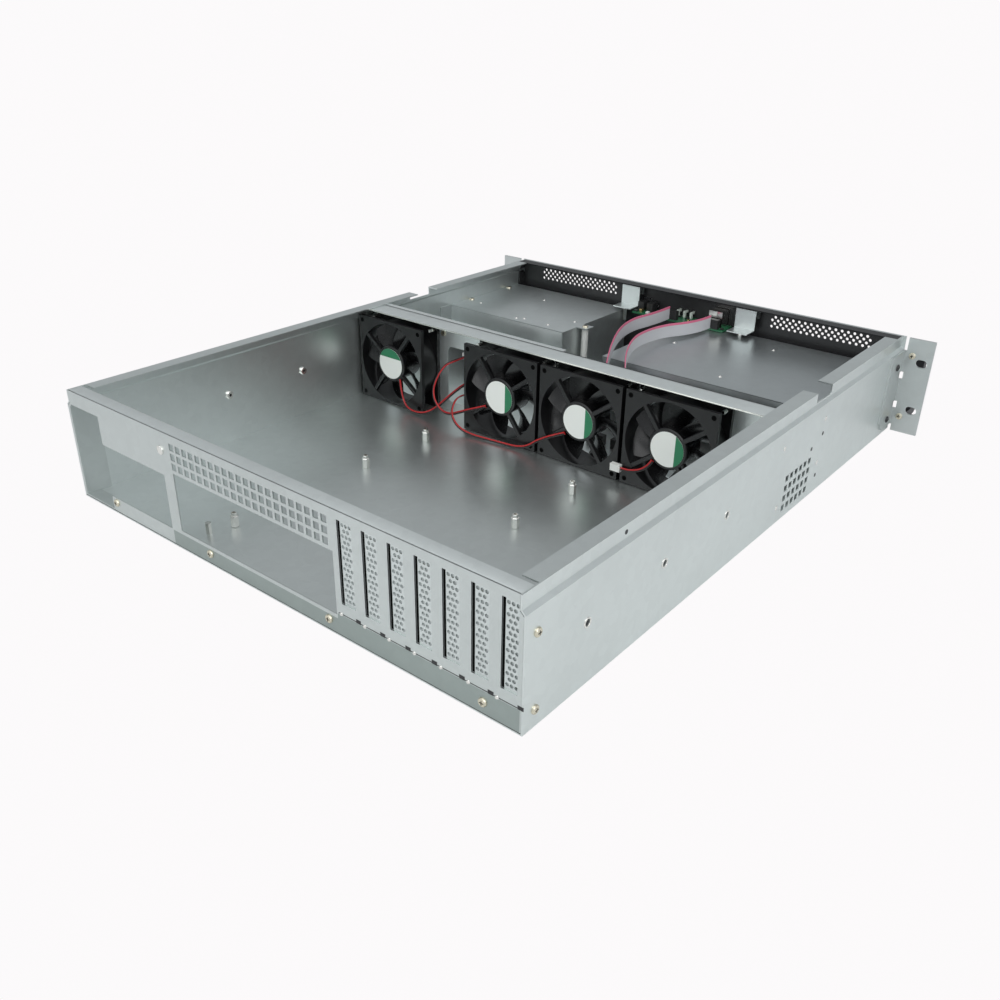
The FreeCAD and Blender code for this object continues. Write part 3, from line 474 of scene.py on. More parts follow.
def route_points(name, route):
    """Points along a smooth curve through a route, read from the curve's own mesh."""
    curve = bpy.data.curves.new(name, "CURVE")
    curve.dimensions = "3D"
    curve.resolution_u = 10
    spline = curve.splines.new("NURBS")
    spline.points.add(len(route) - 1)
    for point, where in zip(spline.points, route):
        point.co = (*place(*where), 1.0)
    spline.order_u = 3
    spline.use_endpoint_u = True
    guide = bpy.data.objects.new(name, curve)
    mesh = bpy.data.meshes.new_from_object(guide)
    points = [vert.co.copy() for vert in mesh.vertices]
    bpy.data.objects.remove(guide)
    bpy.data.meshes.remove(mesh)
    bpy.data.curves.remove(curve)
    return points


def carried_frames(points, across):
    """The direction of travel and two carried directions at every point of a path."""
    frames = []
    for index, point in enumerate(points):
        ahead = points[min(index + 1, len(points) - 1)] - points[max(index - 1, 0)]
        ahead.normalize()
        across = (across - ahead * across.dot(ahead)).normalized()
        frames.append((point, across, ahead.cross(across)))
    return frames


def add_loop_tube(bm, frames, section, material_of):
    """A closed outline of (across, up) pairs swept along the frames, closed at both ends."""
    rings = []
    for point, across, up in frames:
        rings.append([bm.verts.new(point + across * a + up * u) for a, u in section])
    for low, high in zip(rings, rings[1:]):
        for index in range(len(section)):
            after = (index + 1) % len(section)
            face = bm.faces.new([low[index], low[after], high[after], high[index]])
            face.material_index = material_of(index)
    bm.faces.new(rings[0][::-1])
    bm.faces.new(rings[-1])


for name, route in LEADS.items():
    points = route_points(name, route)
    frames = carried_frames(points, UP)
    bm = bmesh.new()
    for strand, side in enumerate((1, -1)):
        circle = []
        for step in range(STRAND_SIDES):
            angle = 2 * math.pi * step / STRAND_SIDES
            circle.append((side * STRAND_RADIUS + STRAND_RADIUS * math.cos(angle),
                           STRAND_RADIUS * math.sin(angle)))
        add_loop_tube(bm, frames, circle, lambda index: strand)
    lead = finish_piece(name + "_strands", bm, [lead_red, lead_black], smooth=60)
    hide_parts(name)

for name, route in RIBBONS.items():
    points = route_points(name, route)
    frames = carried_frames(points, UP)
    step = RIBBON_HALF_WIDTH / RIBBON_CORES
    top = []
    for index in range(2 * RIBBON_CORES + 1):
        rise = RIBBON_RIDGE if index % 2 else RIBBON_GROOVE
        top.append((index * step - RIBBON_HALF_WIDTH, rise))
    section = top + [(a, -u) for a, u in reversed(top)]
    stripe = len(top) - 3
    bm = bmesh.new()
    add_loop_tube(bm, frames, section, lambda index: int(stripe <= index < len(section) - stripe))
    ribbon = finish_piece(name + "_flat", bm, [ribbon_grey, ribbon_pink], smooth=60)
    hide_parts(name)

# %% [markdown]
# A fan is a square moulding with a round duct. Four struts hold the motor, and seven blades that
# twist from hub to tip turn in the duct. The far flange is screwed to the cross wall.

# %% Fans


def square_point(angle, half):
    """Where a ray from the centre meets a square."""
    c = math.cos(angle)
    s = math.sin(angle)
    reach = half / max(abs(c), abs(s))
    return reach * c, reach * s


def duct_outlines(x):
    """Outlines that fill a fan's square round its duct."""
    outlines = []
    for index in range(DUCT_SIDES):
        ends = (2 * math.pi * index / DUCT_SIDES, 2 * math.pi * (index + 1) / DUCT_SIDES)
        outer = [square_point(angle, FAN_HALF) for angle in ends]
        inner = [(DUCT_RADIUS * math.cos(angle), DUCT_RADIUS * math.sin(angle))
                 for angle in reversed(ends)]
        outlines.append([(x + a, FAN_Z + b) for a, b in outer + inner])
    return outlines


STRUTS = 4
STRUT_END = 38.4
STRUT_LEAN = 8
STRUT_SECTION = ((-1.6, 0.2), (1.6, 0.2), (2.2, 3.0), (-2.2, 3.0))


def add_strut(bm, x, angle):
    """One strut from the motor mount to the duct, a little narrower at the back."""
    out = Vector((math.cos(angle), 0, math.sin(angle)))
    side = Vector((-math.sin(angle), 0, math.cos(angle)))
    centre = place(x, FAN_REAR, FAN_Z)
    verts = []
    for reach in (HUB_RADIUS - 1.0, STRUT_END):
        for across, deep in STRUT_SECTION:
            verts.append(bm.verts.new(centre + out * reach / 1000 + side * across / 1000
                                      + TO_FRONT * deep / 1000))
    for face in ((0, 1, 2, 3), (4, 5, 6, 7), (0, 1, 5, 4),
                 (1, 2, 6, 5), (2, 3, 7, 6), (3, 0, 4, 7)):
        bm.faces.new([verts[index] for index in face])


# Each of these pairs is a blade's value at its root and at its tip.
BLADE_RADIUS = (15.5, 36.2)
BLADE_LEAN = (50.0, 28.0)
BLADE_SWEEP = (0.0, 16.0)
BLADE_HALF_CHORD = (12.0, 18.5)
# How far a blade may reach along the shaft, to the rear and to the front of its middle.
BLADE_MIDDLE = FAN_REAR + 14.6
BLADE_REACH = (-9.2, 9.4)
BLADE_THICKNESS = 1.1
BLADE_CAMBER = 1.6
BLADE_STEPS = 6


def blend(pair, share):
    """The value at a share of the way from the first to the second of a pair."""
    return pair[0] + (pair[1] - pair[0]) * share


def add_blade(bm, x, turn):
    """One blade: a grid of points that sweeps and twists from hub to tip, given a thickness."""
    rows = []
    for step_out in range(BLADE_STEPS + 1):
        share = step_out / BLADE_STEPS
        radius = blend(BLADE_RADIUS, share)
        lean = math.radians(blend(BLADE_LEAN, share))
        sweep = math.radians(blend(BLADE_SWEEP, share))
        half_chord = blend(BLADE_HALF_CHORD, share)
        row = []
        for step_along in range(BLADE_STEPS + 1):
            along = (step_along / BLADE_STEPS - 0.5) * 2
            camber = BLADE_CAMBER * (1 - along * along)
            round_way = half_chord * along * math.cos(lean) + camber * math.sin(lean)
            deep = half_chord * along * math.sin(lean) - camber * math.cos(lean)
            angle = turn + sweep + round_way / radius
            deep = max(min(deep, BLADE_REACH[1]), BLADE_REACH[0])
            row.append((radius, angle, BLADE_MIDDLE + deep))
        rows.append(row)
    layers = []
    for offset in (-BLADE_THICKNESS / 2, BLADE_THICKNESS / 2):
        layer = []
        for row in rows:
            layer.append([bm.verts.new(place(x + radius * math.cos(angle), distance + offset,
                                             FAN_Z + radius * math.sin(angle)))
                          for radius, angle, distance in row])
        layers.append(layer)
    low, high = layers
    for i in range(BLADE_STEPS):
        for j in range(BLADE_STEPS):
            for layer in layers:
                bm.faces.new([layer[i][j], layer[i + 1][j], layer[i + 1][j + 1], layer[i][j + 1]])
    for i in range(BLADE_STEPS):
        for j in (0, BLADE_STEPS):
            bm.faces.new([low[i][j], low[i + 1][j], high[i + 1][j], high[i][j]])
            bm.faces.new([low[j][i], low[j][i + 1], high[j][i + 1], high[j][i]])


ROTOR_REAR = FAN_REAR + 4.1
ROTOR_HUB = [(0, 0), (16.5, 0), (16.5, 18.6), (15.6, 20.2), (13.0, 21.0), (0, 21.2)]
LABEL_STEPS = 16

for number, x in enumerate(FAN_X, 1):
    bm = bmesh.new()
    add_slab(bm, duct_outlines(x), FAN_REAR, FAN_REAR + FLANGE)
    add_slab(bm, duct_outlines(x), FAN_FRONT - FLANGE, FAN_FRONT)
    barrel = FAN_FRONT - FAN_REAR - 2 * FLANGE
    add_turned(bm, place(x, FAN_REAR + FLANGE, FAN_Z), TO_FRONT,
               [(DUCT_RADIUS, 0), (DUCT_OUTER, 0), (DUCT_OUTER, barrel), (DUCT_RADIUS, barrel),
                (DUCT_RADIUS, 0)], DUCT_SIDES)
    add_turned(bm, place(x, FAN_REAR, FAN_Z), TO_FRONT,
               [(0, 0), (HUB_RADIUS - 0.8, 0), (HUB_RADIUS, 0.8), (HUB_RADIUS, FLANGE), (0, FLANGE)],
               48)
    lean = -STRUT_LEAN if number == 1 else STRUT_LEAN
    for index in range(STRUTS):
        add_strut(bm, x, math.radians(45 + 90 * index + lean))
    # In every corner a dark disc of painted shade fills the hole, and a thin raised rim rings it.
    for side_x in (-1, 1):
        for side_z in (-1, 1):
            corner = place(x + side_x * FAN_HOLE_OFFSET, FAN_REAR, FAN_Z + side_z * FAN_HOLE_OFFSET)
            add_turned(bm, corner, TO_REAR,
                       [(0, -0.6), (FAN_HOLE_RADIUS, -0.6), (FAN_HOLE_RADIUS, 0.03), (0, 0.03)], 16, 1)
            add_turned(bm, corner, TO_REAR,
                       [(FAN_HOLE_RADIUS, 0), (2.9, 0), (2.9, 0.12), (FAN_HOLE_RADIUS, 0.12),
                        (FAN_HOLE_RADIUS, 0)], 16)
    shell = finish_piece(f"fan_{number}_housing", bm, [fan_black, painted_shade_black])
    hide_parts(f"fan_frame_{number}")

    bm = bmesh.new()
    add_turned(bm, place(x, ROTOR_REAR, FAN_Z), TO_FRONT, ROTOR_HUB, 48)
    for index in range(BLADES):
        add_blade(bm, x, 2 * math.pi * (index + 0.17 * number) / BLADES)
    rotor = finish_piece(f"fan_{number}_rotor", bm, [blade_black], f"rotor_{number}", 50)
    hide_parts(f"fan_impeller_{number}")

# Each label is white with a green part: at the top on the first fan, at the side on the others.
bm = bmesh.new()
for number, x in enumerate(FAN_X, 1):
    add_turned(bm, place(x, FAN_REAR, FAN_Z), TO_REAR,
               [(0, 0), (LABEL_RADIUS, 0), (LABEL_RADIUS, 0.2), (0, 0.2)], 48)
    middle, reach = (90.0, 66.0) if number == 1 else (180.0, 62.0)
    arc = []
    for step in range(LABEL_STEPS + 1):
        angle = math.radians(middle - reach + 2 * reach * step / LABEL_STEPS)
        arc.append((x + LABEL_RADIUS * math.cos(angle), FAN_Z + LABEL_RADIUS * math.sin(angle)))
    add_slab(bm, [arc], FAN_REAR - 0.2, FAN_REAR - 0.27, 1)
labels = finish_piece("motor_labels", bm, [label_white, label_green])
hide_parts("fan_labels")

# %% [markdown]
# The cross wall carries the fans. It has a round hole for each one, and a hole with rounded
# corners between two of them that the leads go through.

# %% Cross wall
WALL_FRONT = FAN_FRONT + 1.2
WALL_TOP = 86.8
CABLE_HOLE = (84.0, 120.0, 10.0, 64.0)
CABLE_CORNER = 5.0
CORNER_STEPS = 6

fan_low_x = [x - FAN_HALF for x in FAN_X]
fan_high_x = [x + FAN_HALF for x in FAN_X]
outlines = [
    rectangle(-SIDE_INNER, SIDE_INNER, SHEET, FAN_LOW),
    rectangle(-SIDE_INNER_HIGH, SIDE_INNER_HIGH, FAN_HIGH, WALL_TOP),
    [(fan_high_x[0], FAN_LOW), (SIDE_INNER, FAN_LOW), (SIDE_INNER, KNEE_LOW),
     (SIDE_INNER_HIGH, KNEE_HIGH), (SIDE_INNER_HIGH, FAN_HIGH), (fan_high_x[0], FAN_HIGH)],
    [(fan_low_x[3], FAN_LOW), (fan_low_x[3], FAN_HIGH), (-SIDE_INNER_HIGH, FAN_HIGH),
     (-SIDE_INNER_HIGH, KNEE_HIGH), (-SIDE_INNER, KNEE_LOW), (-SIDE_INNER, FAN_LOW)],
    rectangle(fan_high_x[2], fan_low_x[1], FAN_LOW, FAN_HIGH),
    rectangle(fan_high_x[3], fan_low_x[2], FAN_LOW, FAN_HIGH),
    rectangle(fan_high_x[1], fan_low_x[0], FAN_LOW, CABLE_HOLE[2]),
    rectangle(fan_high_x[1], fan_low_x[0], CABLE_HOLE[3], FAN_HIGH),
    rectangle(fan_high_x[1], CABLE_HOLE[0], CABLE_HOLE[2], CABLE_HOLE[3]),
    rectangle(CABLE_HOLE[1], fan_low_x[0], CABLE_HOLE[2], CABLE_HOLE[3]),
]
for corner_x, side_x in ((CABLE_HOLE[0], 1), (CABLE_HOLE[1], -1)):
    for corner_z, side_z in ((CABLE_HOLE[2], 1), (CABLE_HOLE[3], -1)):
        corner = [(corner_x, corner_z)]
        for step in range(CORNER_STEPS + 1):
            angle = math.pi / 2 * step / CORNER_STEPS
            corner.append((corner_x + side_x * CABLE_CORNER * (1 - math.cos(angle)),
                           corner_z + side_z * CABLE_CORNER * (1 - math.sin(angle))))
        outlines.append(corner)
for x in FAN_X:
    outlines += duct_outlines(x)
bm = bmesh.new()
add_slab(bm, outlines, FAN_FRONT, WALL_FRONT)
# Its top and its two ends are folded towards the rear.
add_box(bm, -SIDE_INNER_HIGH, SIDE_INNER_HIGH, WALL_FRONT - 20.0, WALL_FRONT - 0.1, 85.6, WALL_TOP,
        bevel=0.25)
for sign in (1, -1):
    add_box(bm, sign * 212.7, sign * SIDE_INNER, WALL_FRONT - 18.0, WALL_FRONT - 0.1, SHEET, 75.0)
cross_wall = finish_piece("cross_wall_sheet", bm, [zinc_painted_light_folds])
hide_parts("fan_wall")

# %% [markdown]
# The slot covers are perforated with round holes in staggered rows. Thin black plates stand in the
# gaps beside and below each cover as painted shade.

# %% Slot covers
COVER_LEFT = 5.4
COVER_RIGHT = 4.3
COVER_MARGIN = 0.3
COVER_LOW = 14.0
COVER_TOP = 86.0
HOLES_LOW = 26.5
HOLES_HIGH = 81.5

for number, x in enumerate(SLOT_X, 1):
    bm = bmesh.new()
    left = x - COVER_LEFT
    right = x + COVER_RIGHT
    first = left + COVER_MARGIN
    last = right - COVER_MARGIN
    outlines = perforation(first, last, HOLES_LOW, HOLES_HIGH, 3, 15, 1.3)
    outlines += [rectangle(left, first, HOLES_LOW, HOLES_HIGH),
                 rectangle(last, right, HOLES_LOW, HOLES_HIGH),
                 rectangle(left, right, COVER_LOW, HOLES_LOW),
                 rectangle(left, right, HOLES_HIGH, COVER_TOP)]
    add_slab(bm, outlines, SHEET, 2 * SHEET)
    add_box(bm, left, right, 2 * SHEET, 10.5, COVER_TOP - 1.0, COVER_TOP)
    # Painted shade: black plates in the gap beside the cover and along its foot.
    add_box(bm, right, x + SLOT_HALF - 0.05, 1.05, 1.5, SLOT_LOW + 0.1, SLOT_HIGH - 0.1, 1)
    add_box(bm, left, right, 1.04, 1.5, SLOT_LOW + 0.1, SLOT_LOW + 0.7, 1)
    cover = finish_piece(f"card_slot_cover_{number}", bm, [zinc_pale, painted_shade_black])
    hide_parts(f"slot_cover_{number}")

# %% [markdown]
# The rear panel is drawn as flat outlines round its openings: the power supply's, the one for a
# board's sockets, a grid of square vent holes and seven card slots. Then it gets its folds.

# %% Rear panel
# The power supply's opening is taller past a step.
SUPPLY_LEFT = 97.0
SUPPLY_STEP = 174.0
SUPPLY_RIGHT = 212.0
SOCKETS_LEFT = -72.9
SOCKETS_RIGHT = 85.85
SOCKETS_LOW = 15.2
SOCKETS_HIGH = 59.65
VENT_COLUMNS = 22
VENT_ROWS = 3
VENT_PITCH = (7.16, 7.3)
VENT_CORNER = (-70.66, 61.05)
VENT_EDGE = 1.1
SLOTS_END = -211.0

vent_left, vent_low = VENT_CORNER
vent_right = vent_left + VENT_COLUMNS * VENT_PITCH[0]
vent_high = vent_low + VENT_ROWS * VENT_PITCH[1]
outlines = [
    [(SUPPLY_RIGHT, SHEET), (SIDE_INNER, SHEET), (SIDE_INNER, KNEE_LOW), (SUPPLY_RIGHT, 74.5)],
    rectangle(SUPPLY_STEP, SUPPLY_RIGHT, SHEET, 2.5),
    [(SUPPLY_STEP, 77.0), (209.5, 77.0), (SUPPLY_RIGHT, 74.5), (SIDE_INNER, KNEE_LOW),
     (SIDE_INNER_HIGH, KNEE_HIGH), (SIDE_INNER_HIGH, TOP), (SUPPLY_STEP, TOP)],
    rectangle(SUPPLY_LEFT, SUPPLY_STEP, SHEET, 13.0),
    rectangle(SUPPLY_LEFT, SUPPLY_STEP, 55.0, TOP),
    rectangle(vent_right, SUPPLY_LEFT, SHEET, TOP),
    rectangle(SOCKETS_RIGHT, vent_right, SHEET, vent_low),
    rectangle(SOCKETS_LEFT, SOCKETS_RIGHT, SHEET, SOCKETS_LOW),
    rectangle(vent_left, SOCKETS_RIGHT, SOCKETS_HIGH, vent_low),
    rectangle(vent_left, vent_right, vent_high, TOP),
    rectangle(SOCKETS_LEFT, vent_left, SOCKETS_HIGH, TOP),
    rectangle(SLOT_X[0] + SLOT_HALF, SOCKETS_LEFT, SHEET, TOP),
    [(SLOTS_END, SHEET), (-SIDE_INNER, SHEET), (-SIDE_INNER, KNEE_LOW),
     (-SIDE_INNER_HIGH, KNEE_HIGH), (-SIDE_INNER_HIGH, TOP), (SLOTS_END, TOP)],
]
for column in range(VENT_COLUMNS):
    for row in range(VENT_ROWS):
        x0 = vent_left + column * VENT_PITCH[0]
        z0 = vent_low + row * VENT_PITCH[1]
        x1 = x0 + VENT_PITCH[0]
        z1 = z0 + VENT_PITCH[1]
        outer = rectangle(x0, x1, z0, z1)
        inner = rectangle(x0 + VENT_EDGE, x1 - VENT_EDGE, z0 + VENT_EDGE, z1 - VENT_EDGE)
        for index in range(4):
            after = (index + 1) % 4
            outlines.append([outer[index], outer[after], inner[after], inner[index]])
for number, x in enumerate(SLOT_X):
    far_side = max(x - SLOT_HALF, SLOTS_END)
    outlines.append(rectangle(far_side, x + SLOT_HALF, SHEET, SLOT_LOW))
    outlines.append(rectangle(far_side, x + SLOT_HALF, SLOT_HIGH, TOP))
    if number < SLOTS - 1:
        outlines.append(rectangle(SLOT_X[number + 1] + SLOT_HALF, far_side, SHEET, TOP))
bm = bmesh.new()
add_slab(bm, outlines, 0.0, SHEET)
# The top fold takes the lighter zinc, which is painted light.
add_box(bm, -SIDE_INNER_HIGH, SIDE_INNER_HIGH, 0.2, 11.5, TOP - 1.0, TOP, 1, 0.3)
add_box(bm, -SIDE_INNER, SIDE_INNER, 0.2, 11.5, SHEET, 2 * SHEET)
for sign in (1, -1):
    add_box(bm, sign * (SIDE_INNER - 1.0), sign * SIDE_INNER, 0.2, 21.0, SHEET, 75.0)
rear = finish_piece("rear_sheet", bm, [zinc, zinc_painted_light_folds])
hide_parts("rear_panel")

# %% [markdown]
# Small marks show on the rear panel's outside: a groove, notches and nubs below the slots, a bright
# plug beside the vent, and a darker strip along the foot with a dark line of painted shadow under it.

# %% Rear panel marks
NUB = [(0, 0), (1.4, 0), (1.0, 0.5), (0, 0.6)]
PLUG = [(0, 0), (3.4, 0), (3.3, 0.8), (2.2, 1.4), (0, 1.4)]

bm = bmesh.new()
add_box(bm, -212.0, -74.5, -0.06, 0.1, 17.1, 17.7, 1)
for step in range(SLOTS):
    add_box(bm, -93.7 - 20.3 * step, -89.7 - 20.3 * step, -0.1, 0.1, 16.8, 19.4, 1)
    add_turned(bm, place(-76.9 - 20.1 * step, 0.0, 17.2), TO_REAR, NUB, 12)
add_turned(bm, place(96.5, 0.0, 74.0), TO_REAR, PLUG, 20)
add_box(bm, -213.0, -73.5, -0.04, 0.2, 1.6, 16.6, 2)
add_box(bm, -73.5, 96.0, -0.04, 0.2, 1.6, 12.6, 2)
# A dark line of painted shadow under the strip.
add_box(bm, -SIDE_INNER, SIDE_INNER, -0.07, 0.1, 1.0, 1.6, 1)
finish_piece("rear_panel_marks", bm, [nickel, dark_steel_and_painted_shade, zinc_dark])

# %% [markdown]
# The black sheet behind the bezel has the finest holes, in two windows. Between them it keeps
# openings for the socket, the lights and the two buttons, from left to right.

# %% Black front sheet
PANEL_REAR = 549.0
PANEL_FRONT = 550.0
PANEL_FOLD = 541.0
PANEL_HALF = 212.8
PANEL_LOW = 2.0
PANEL_KNEE = 74.5
PANEL_TOP = 86.9
WINDOWS = ((-188.0, -87.0), (85.5, 186.5))
WINDOW_LOW = 70.8
WINDOW_HIGH = 83.2
PORT_TOP = 81.5
SOCKET = (-45.2, -29.8, 63.7, 80.3)
BUTTON_Z = 69.4
LIGHT_X = (-6.0, 1.5, 9.0)
LIGHT_HALF = 1.9
BUTTONS = ((38.0, 3.0), (48.5, 5.4))

outlines = [rectangle(-PANEL_HALF, PANEL_HALF, PANEL_LOW, CAGE_TOP)]
for low_x, high_x in WINDOWS:
    outlines += perforation(low_x, high_x, WINDOW_LOW, WINDOW_HIGH, 17, 4, 1.45)
    outlines += [rectangle(low_x, high_x, CAGE_TOP, WINDOW_LOW),
                 rectangle(low_x, high_x, WINDOW_HIGH, PANEL_TOP)]
(far_left, left), (right, far_right) = WINDOWS
outlines += [rectangle(-PANEL_HALF, far_left, CAGE_TOP, PANEL_KNEE),
             rectangle(far_right, PANEL_HALF, CAGE_TOP, PANEL_KNEE),
             rectangle(-SIDE_INNER_HIGH, far_left, PANEL_KNEE, PANEL_TOP),
             rectangle(far_right, SIDE_INNER_HIGH, PANEL_KNEE, PANEL_TOP),
             rectangle(left, right, PORT_TOP, PANEL_TOP)]
ports = [SOCKET]
ports += [(x - r, x + r, BUTTON_Z - r, BUTTON_Z + r)
          for x, r in [(x, LIGHT_HALF) for x in LIGHT_X] + list(BUTTONS)]
for port_left, port_right, port_low, port_high in ports:
    outlines.append(rectangle(left, port_left, CAGE_TOP, PORT_TOP))
    outlines.append(rectangle(port_left, port_right, CAGE_TOP, port_low))
    outlines.append(rectangle(port_left, port_right, port_high, PORT_TOP))
    left = port_right
outlines.append(rectangle(left, right, CAGE_TOP, PORT_TOP))
bm = bmesh.new()
add_slab(bm, outlines, PANEL_REAR, PANEL_FRONT)
for sign in (1, -1):
    add_box(bm, sign * 211.8, sign * PANEL_HALF, PANEL_FOLD, PANEL_FRONT, PANEL_LOW, PANEL_KNEE)
    add_box(bm, sign * 210.4, sign * SIDE_INNER_HIGH, PANEL_FOLD, PANEL_FRONT, 79.5, PANEL_TOP)
add_box(bm, -PANEL_HALF, PANEL_HALF, PANEL_FOLD, PANEL_FRONT, PANEL_LOW, PANEL_LOW + 1.0)
black_sheet = finish_piece("perforated_front_sheet", bm, [black_paint])
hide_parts("front_subpanel")

# %% [markdown]
# Screws, board standoffs and rivets are small but catch the light, so each is turned in full.

# %% Fasteners
BOARD_HOLE_X = (0.0, 157.48, 281.94)
BOARD_HOLE_Y = (0.0, 154.94, 227.33)
FIRST_HOLE_SHIFT = 22.86
STANDOFF = [(0, 0), (2.6, 0), (3.25, 0.5), (3.25, 8.6), (2.7, 9.1), (2.3, 9.1), (2.3, 11.3),
            (2.1, 11.5), (1.4, 11.5), (1.4, 9.5), (0, 9.5)]
NUT_OUTSIDE = [(2.4, 0), (3.5, 0), (3.4, 0.3), (2.5, 0.35), (2.4, 0)]
NUT_INSIDE = [(1.2, 1.2), (1.3, 1.6), (3.0, 1.6), (3.6, 1.0), (3.6, 0), (2.4, 0), (2.4, 0.2),
              (1.2, 1.2)]
BRIGHT_RIVET = [(0, 0), (2.0, 0), (1.7, 0.3), (0, 0.4)]
DARK_RIVET = [(0, 0), (1.7, 0), (1.6, 0.15), (0, 0.15)]

bm = bmesh.new()
for x in (168.9, 54.0, -65.3, -187.8):
    add_screw(bm, place(x, 0.0, 9.0), TO_FRONT)
for sign in (1, -1):
    for z in (11.8, 61.7):
        add_screw(bm, place(sign * SIDE_OUTER, 10.6, z), Vector((-sign, 0, 0)))
for x in SLOT_X:
    add_screw(bm, place(x, 7.0, 85.0), UP)
for x, distance in ((210.0, 455.0), (210.0, 519.0), (62.0, 455.0)):
    add_screw(bm, place(x, distance, CAGE_TOP), -UP)
screws = finish_piece("case_screw_heads", bm, [brass_tint, painted_shade_black])
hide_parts("case_screws")

bm = bmesh.new()
for sign in (1, -1):
    for z in (13.8, 63.0):
        add_screw(bm, place(sign * 217.0, 537.0, z), Vector((-sign, 0, 0)))
fixings = finish_piece("ear_fixing_heads", bm, [dark_steel_and_painted_shade, painted_shade_black])
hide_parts("ear_fixing_screws")

bm = bmesh.new()
for sign in (1, -1):
    for z in (14.75, 72.25):
        add_screw(bm, place(sign * 223.7, 550.0, z), TO_FRONT)
grips = finish_piece("handle_screw_heads", bm, [brass_tint, painted_shade_black])
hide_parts("handle_screws")

bm = bmesh.new()
for column, offset_x in enumerate(BOARD_HOLE_X):
    for row, offset_y in enumerate(BOARD_HOLE_Y):
        shift = FIRST_HOLE_SHIFT if column == 0 and row == 0 else 0.0
        add_turned(bm, place(85.5 - offset_x, 20.3 + offset_y + shift, SHEET), UP, STANDOFF, 6)
stands = finish_piece("board_standoffs", bm, [nickel])
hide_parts("standoffs")

bm = bmesh.new()
for distance in (57.0, 140.0, 221.5):
    for sign in (1, -1):
        outward = Vector((sign, 0, 0))
        inner = place(sign * SIDE_INNER, distance, 43.0)
        add_turned(bm, place(sign * SIDE_OUTER, distance, 43.0), outward, NUT_OUTSIDE, 20)
        add_turned(bm, inner, -outward, NUT_INSIDE, 20)
        # Dark discs of painted shade fill the nut's bore and the hole in the wall.
        add_turned(bm, inner, -outward, [(0, 0.9), (1.5, 0.9), (1.5, 1.1), (0, 1.1)], 12, 1)
        add_turned(bm, inner, outward, [(0, 0.2), (2.45, 0.2), (2.45, 0.3), (0, 0.3)], 16, 1)
to_left = Vector((-1, 0, 0))
for distance, z in ((306.0, 62.8), (308.0, 13.4), (381.0, 62.9), (378.0, 26.5)):
    add_turned(bm, place(-SIDE_OUTER, distance, z), to_left, BRIGHT_RIVET, 16)
for distance, z in ((380.0, 50.8), (361.0, 43.7), (379.0, 15.1)):
    add_turned(bm, place(-SIDE_OUTER, distance, z), to_left, DARK_RIVET, 12, 1)
# A yellow rivet near the leads' hole, and a dark mark high on the side wall.
add_turned(bm, place(125.0, FAN_FRONT, 75.0), TO_REAR, [(0, 0), (2.8, 0), (2.4, 1.2), (0, 1.6)], 18, 2)
add_turned(bm, place(-212.5, 95.0, 83.0), to_left, [(0, 0), (1.6, 0), (1.6, 0.1), (0, 0.1)], 12, 1)
finish_piece("rail_nuts_and_rivets", bm, [nickel, dark_steel_and_painted_shade, brass_tint])

# %% [markdown]
# The fans' screws come through the cross wall, and their bright tips show over the fans. Each
# drive cage has a rear lip turned down, and round dimples where drives are screwed from below.

# %% Screw tips, cage lips and dimples
SCREW_TIP = [(0, 0), (1.7, 0), (1.7, 6.6), (1.2, 7.3), (0, 7.3)]
DIMPLE = [(0, 0), (1.9, 0), (1.5, 0.35), (0.9, 0.35), (0.7, 0.05), (0, 0.05)]
DIMPLE_PLACES = (
    (193.7, 451.0), (131.5, 433.0), (124.4, 437.0), (93.9, 436.0), (79.6, 462.0), (150.0, 505.0),
    (-107.0, 414.0), (-111.0, 512.0), (-30.0, 470.0),
)

bm = bmesh.new()
for x in FAN_X:
    for side in (-1, 1):
        tip = place(x + side * FAN_HOLE_OFFSET, 312.3, FAN_Z + FAN_HOLE_OFFSET)
        add_turned(bm, tip, TO_REAR, SCREW_TIP, 14)
for x, distance in DIMPLE_PLACES:
    add_turned(bm, place(x, distance, CAGE_TOP), UP, DIMPLE, 14)
# Two fine lines mark the cross wall's top fold: a dark line of painted shade in front and a bright
# painted highlight behind.
add_box(bm, -211.0, 211.0, 317.0, 317.5, 86.6, 86.86, 1)
add_box(bm, -211.0, 211.0, 296.9, 297.3, 85.7, 86.75)
finish_piece("screw_tips_and_dimples", bm, [nickel, dark_steel_and_painted_shade])

bm = bmesh.new()
for x0, x1, distance in ((69.0, 212.8, 425.0), (-212.8, -1.0, 392.0)):
    add_box(bm, x0, x1, distance, distance + 1.0, 30.0, CAGE_TOP - 1.0, int(x0 < 0), 0.2)
finish_piece("drive_cage_lips", bm, [zinc_painted_light_cage, zinc_painted_shade_cage])

# %% [markdown]
# The little boards behind the front panel carry sockets, chips and a row of gold pins.

# %% Board parts
BOARD_TOP = 64.2
# Each row: x, distance, width, depth, height, and 0 for black plastic, 1 for nylon, 2 for gold.
BOARD_PARTS = (
    (-4.0, 541.0, 3.0, 4.0, 1.6, 0), (5.0, 541.5, 3.0, 3.0, 1.6, 0), (12.5, 539.0, 2.2, 5.0, 3.0, 1),
    (-9.5, 533.0, 2.0, 3.0, 2.2, 2), (-47.5, 531.0, 3.0, 3.0, 1.4, 0), (-27.5, 533.0, 3.0, 4.0, 2.0, 1),
    (36.5, 530.5, 3.0, 4.0, 2.0, 1), (50.0, 530.0, 4.0, 3.5, 1.6, 0), (44.0, 531.0, 3.0, 5.0, 3.4, 2),
)

bm = bmesh.new()
for x, distance, width, deep, high, material in BOARD_PARTS:
    add_box(bm, x - width / 2, x + width / 2, distance - deep / 2, distance + deep / 2,
            BOARD_TOP, BOARD_TOP + high, material, 0.15)
finish_piece("board_parts", bm, [plug_black, nylon, gold])

# %% [markdown]
# Folded sheet has soft outside corners, so a fine bevel rounds the metal CAD nodes that still show.
# The handles are bent rod, and get a wider one.

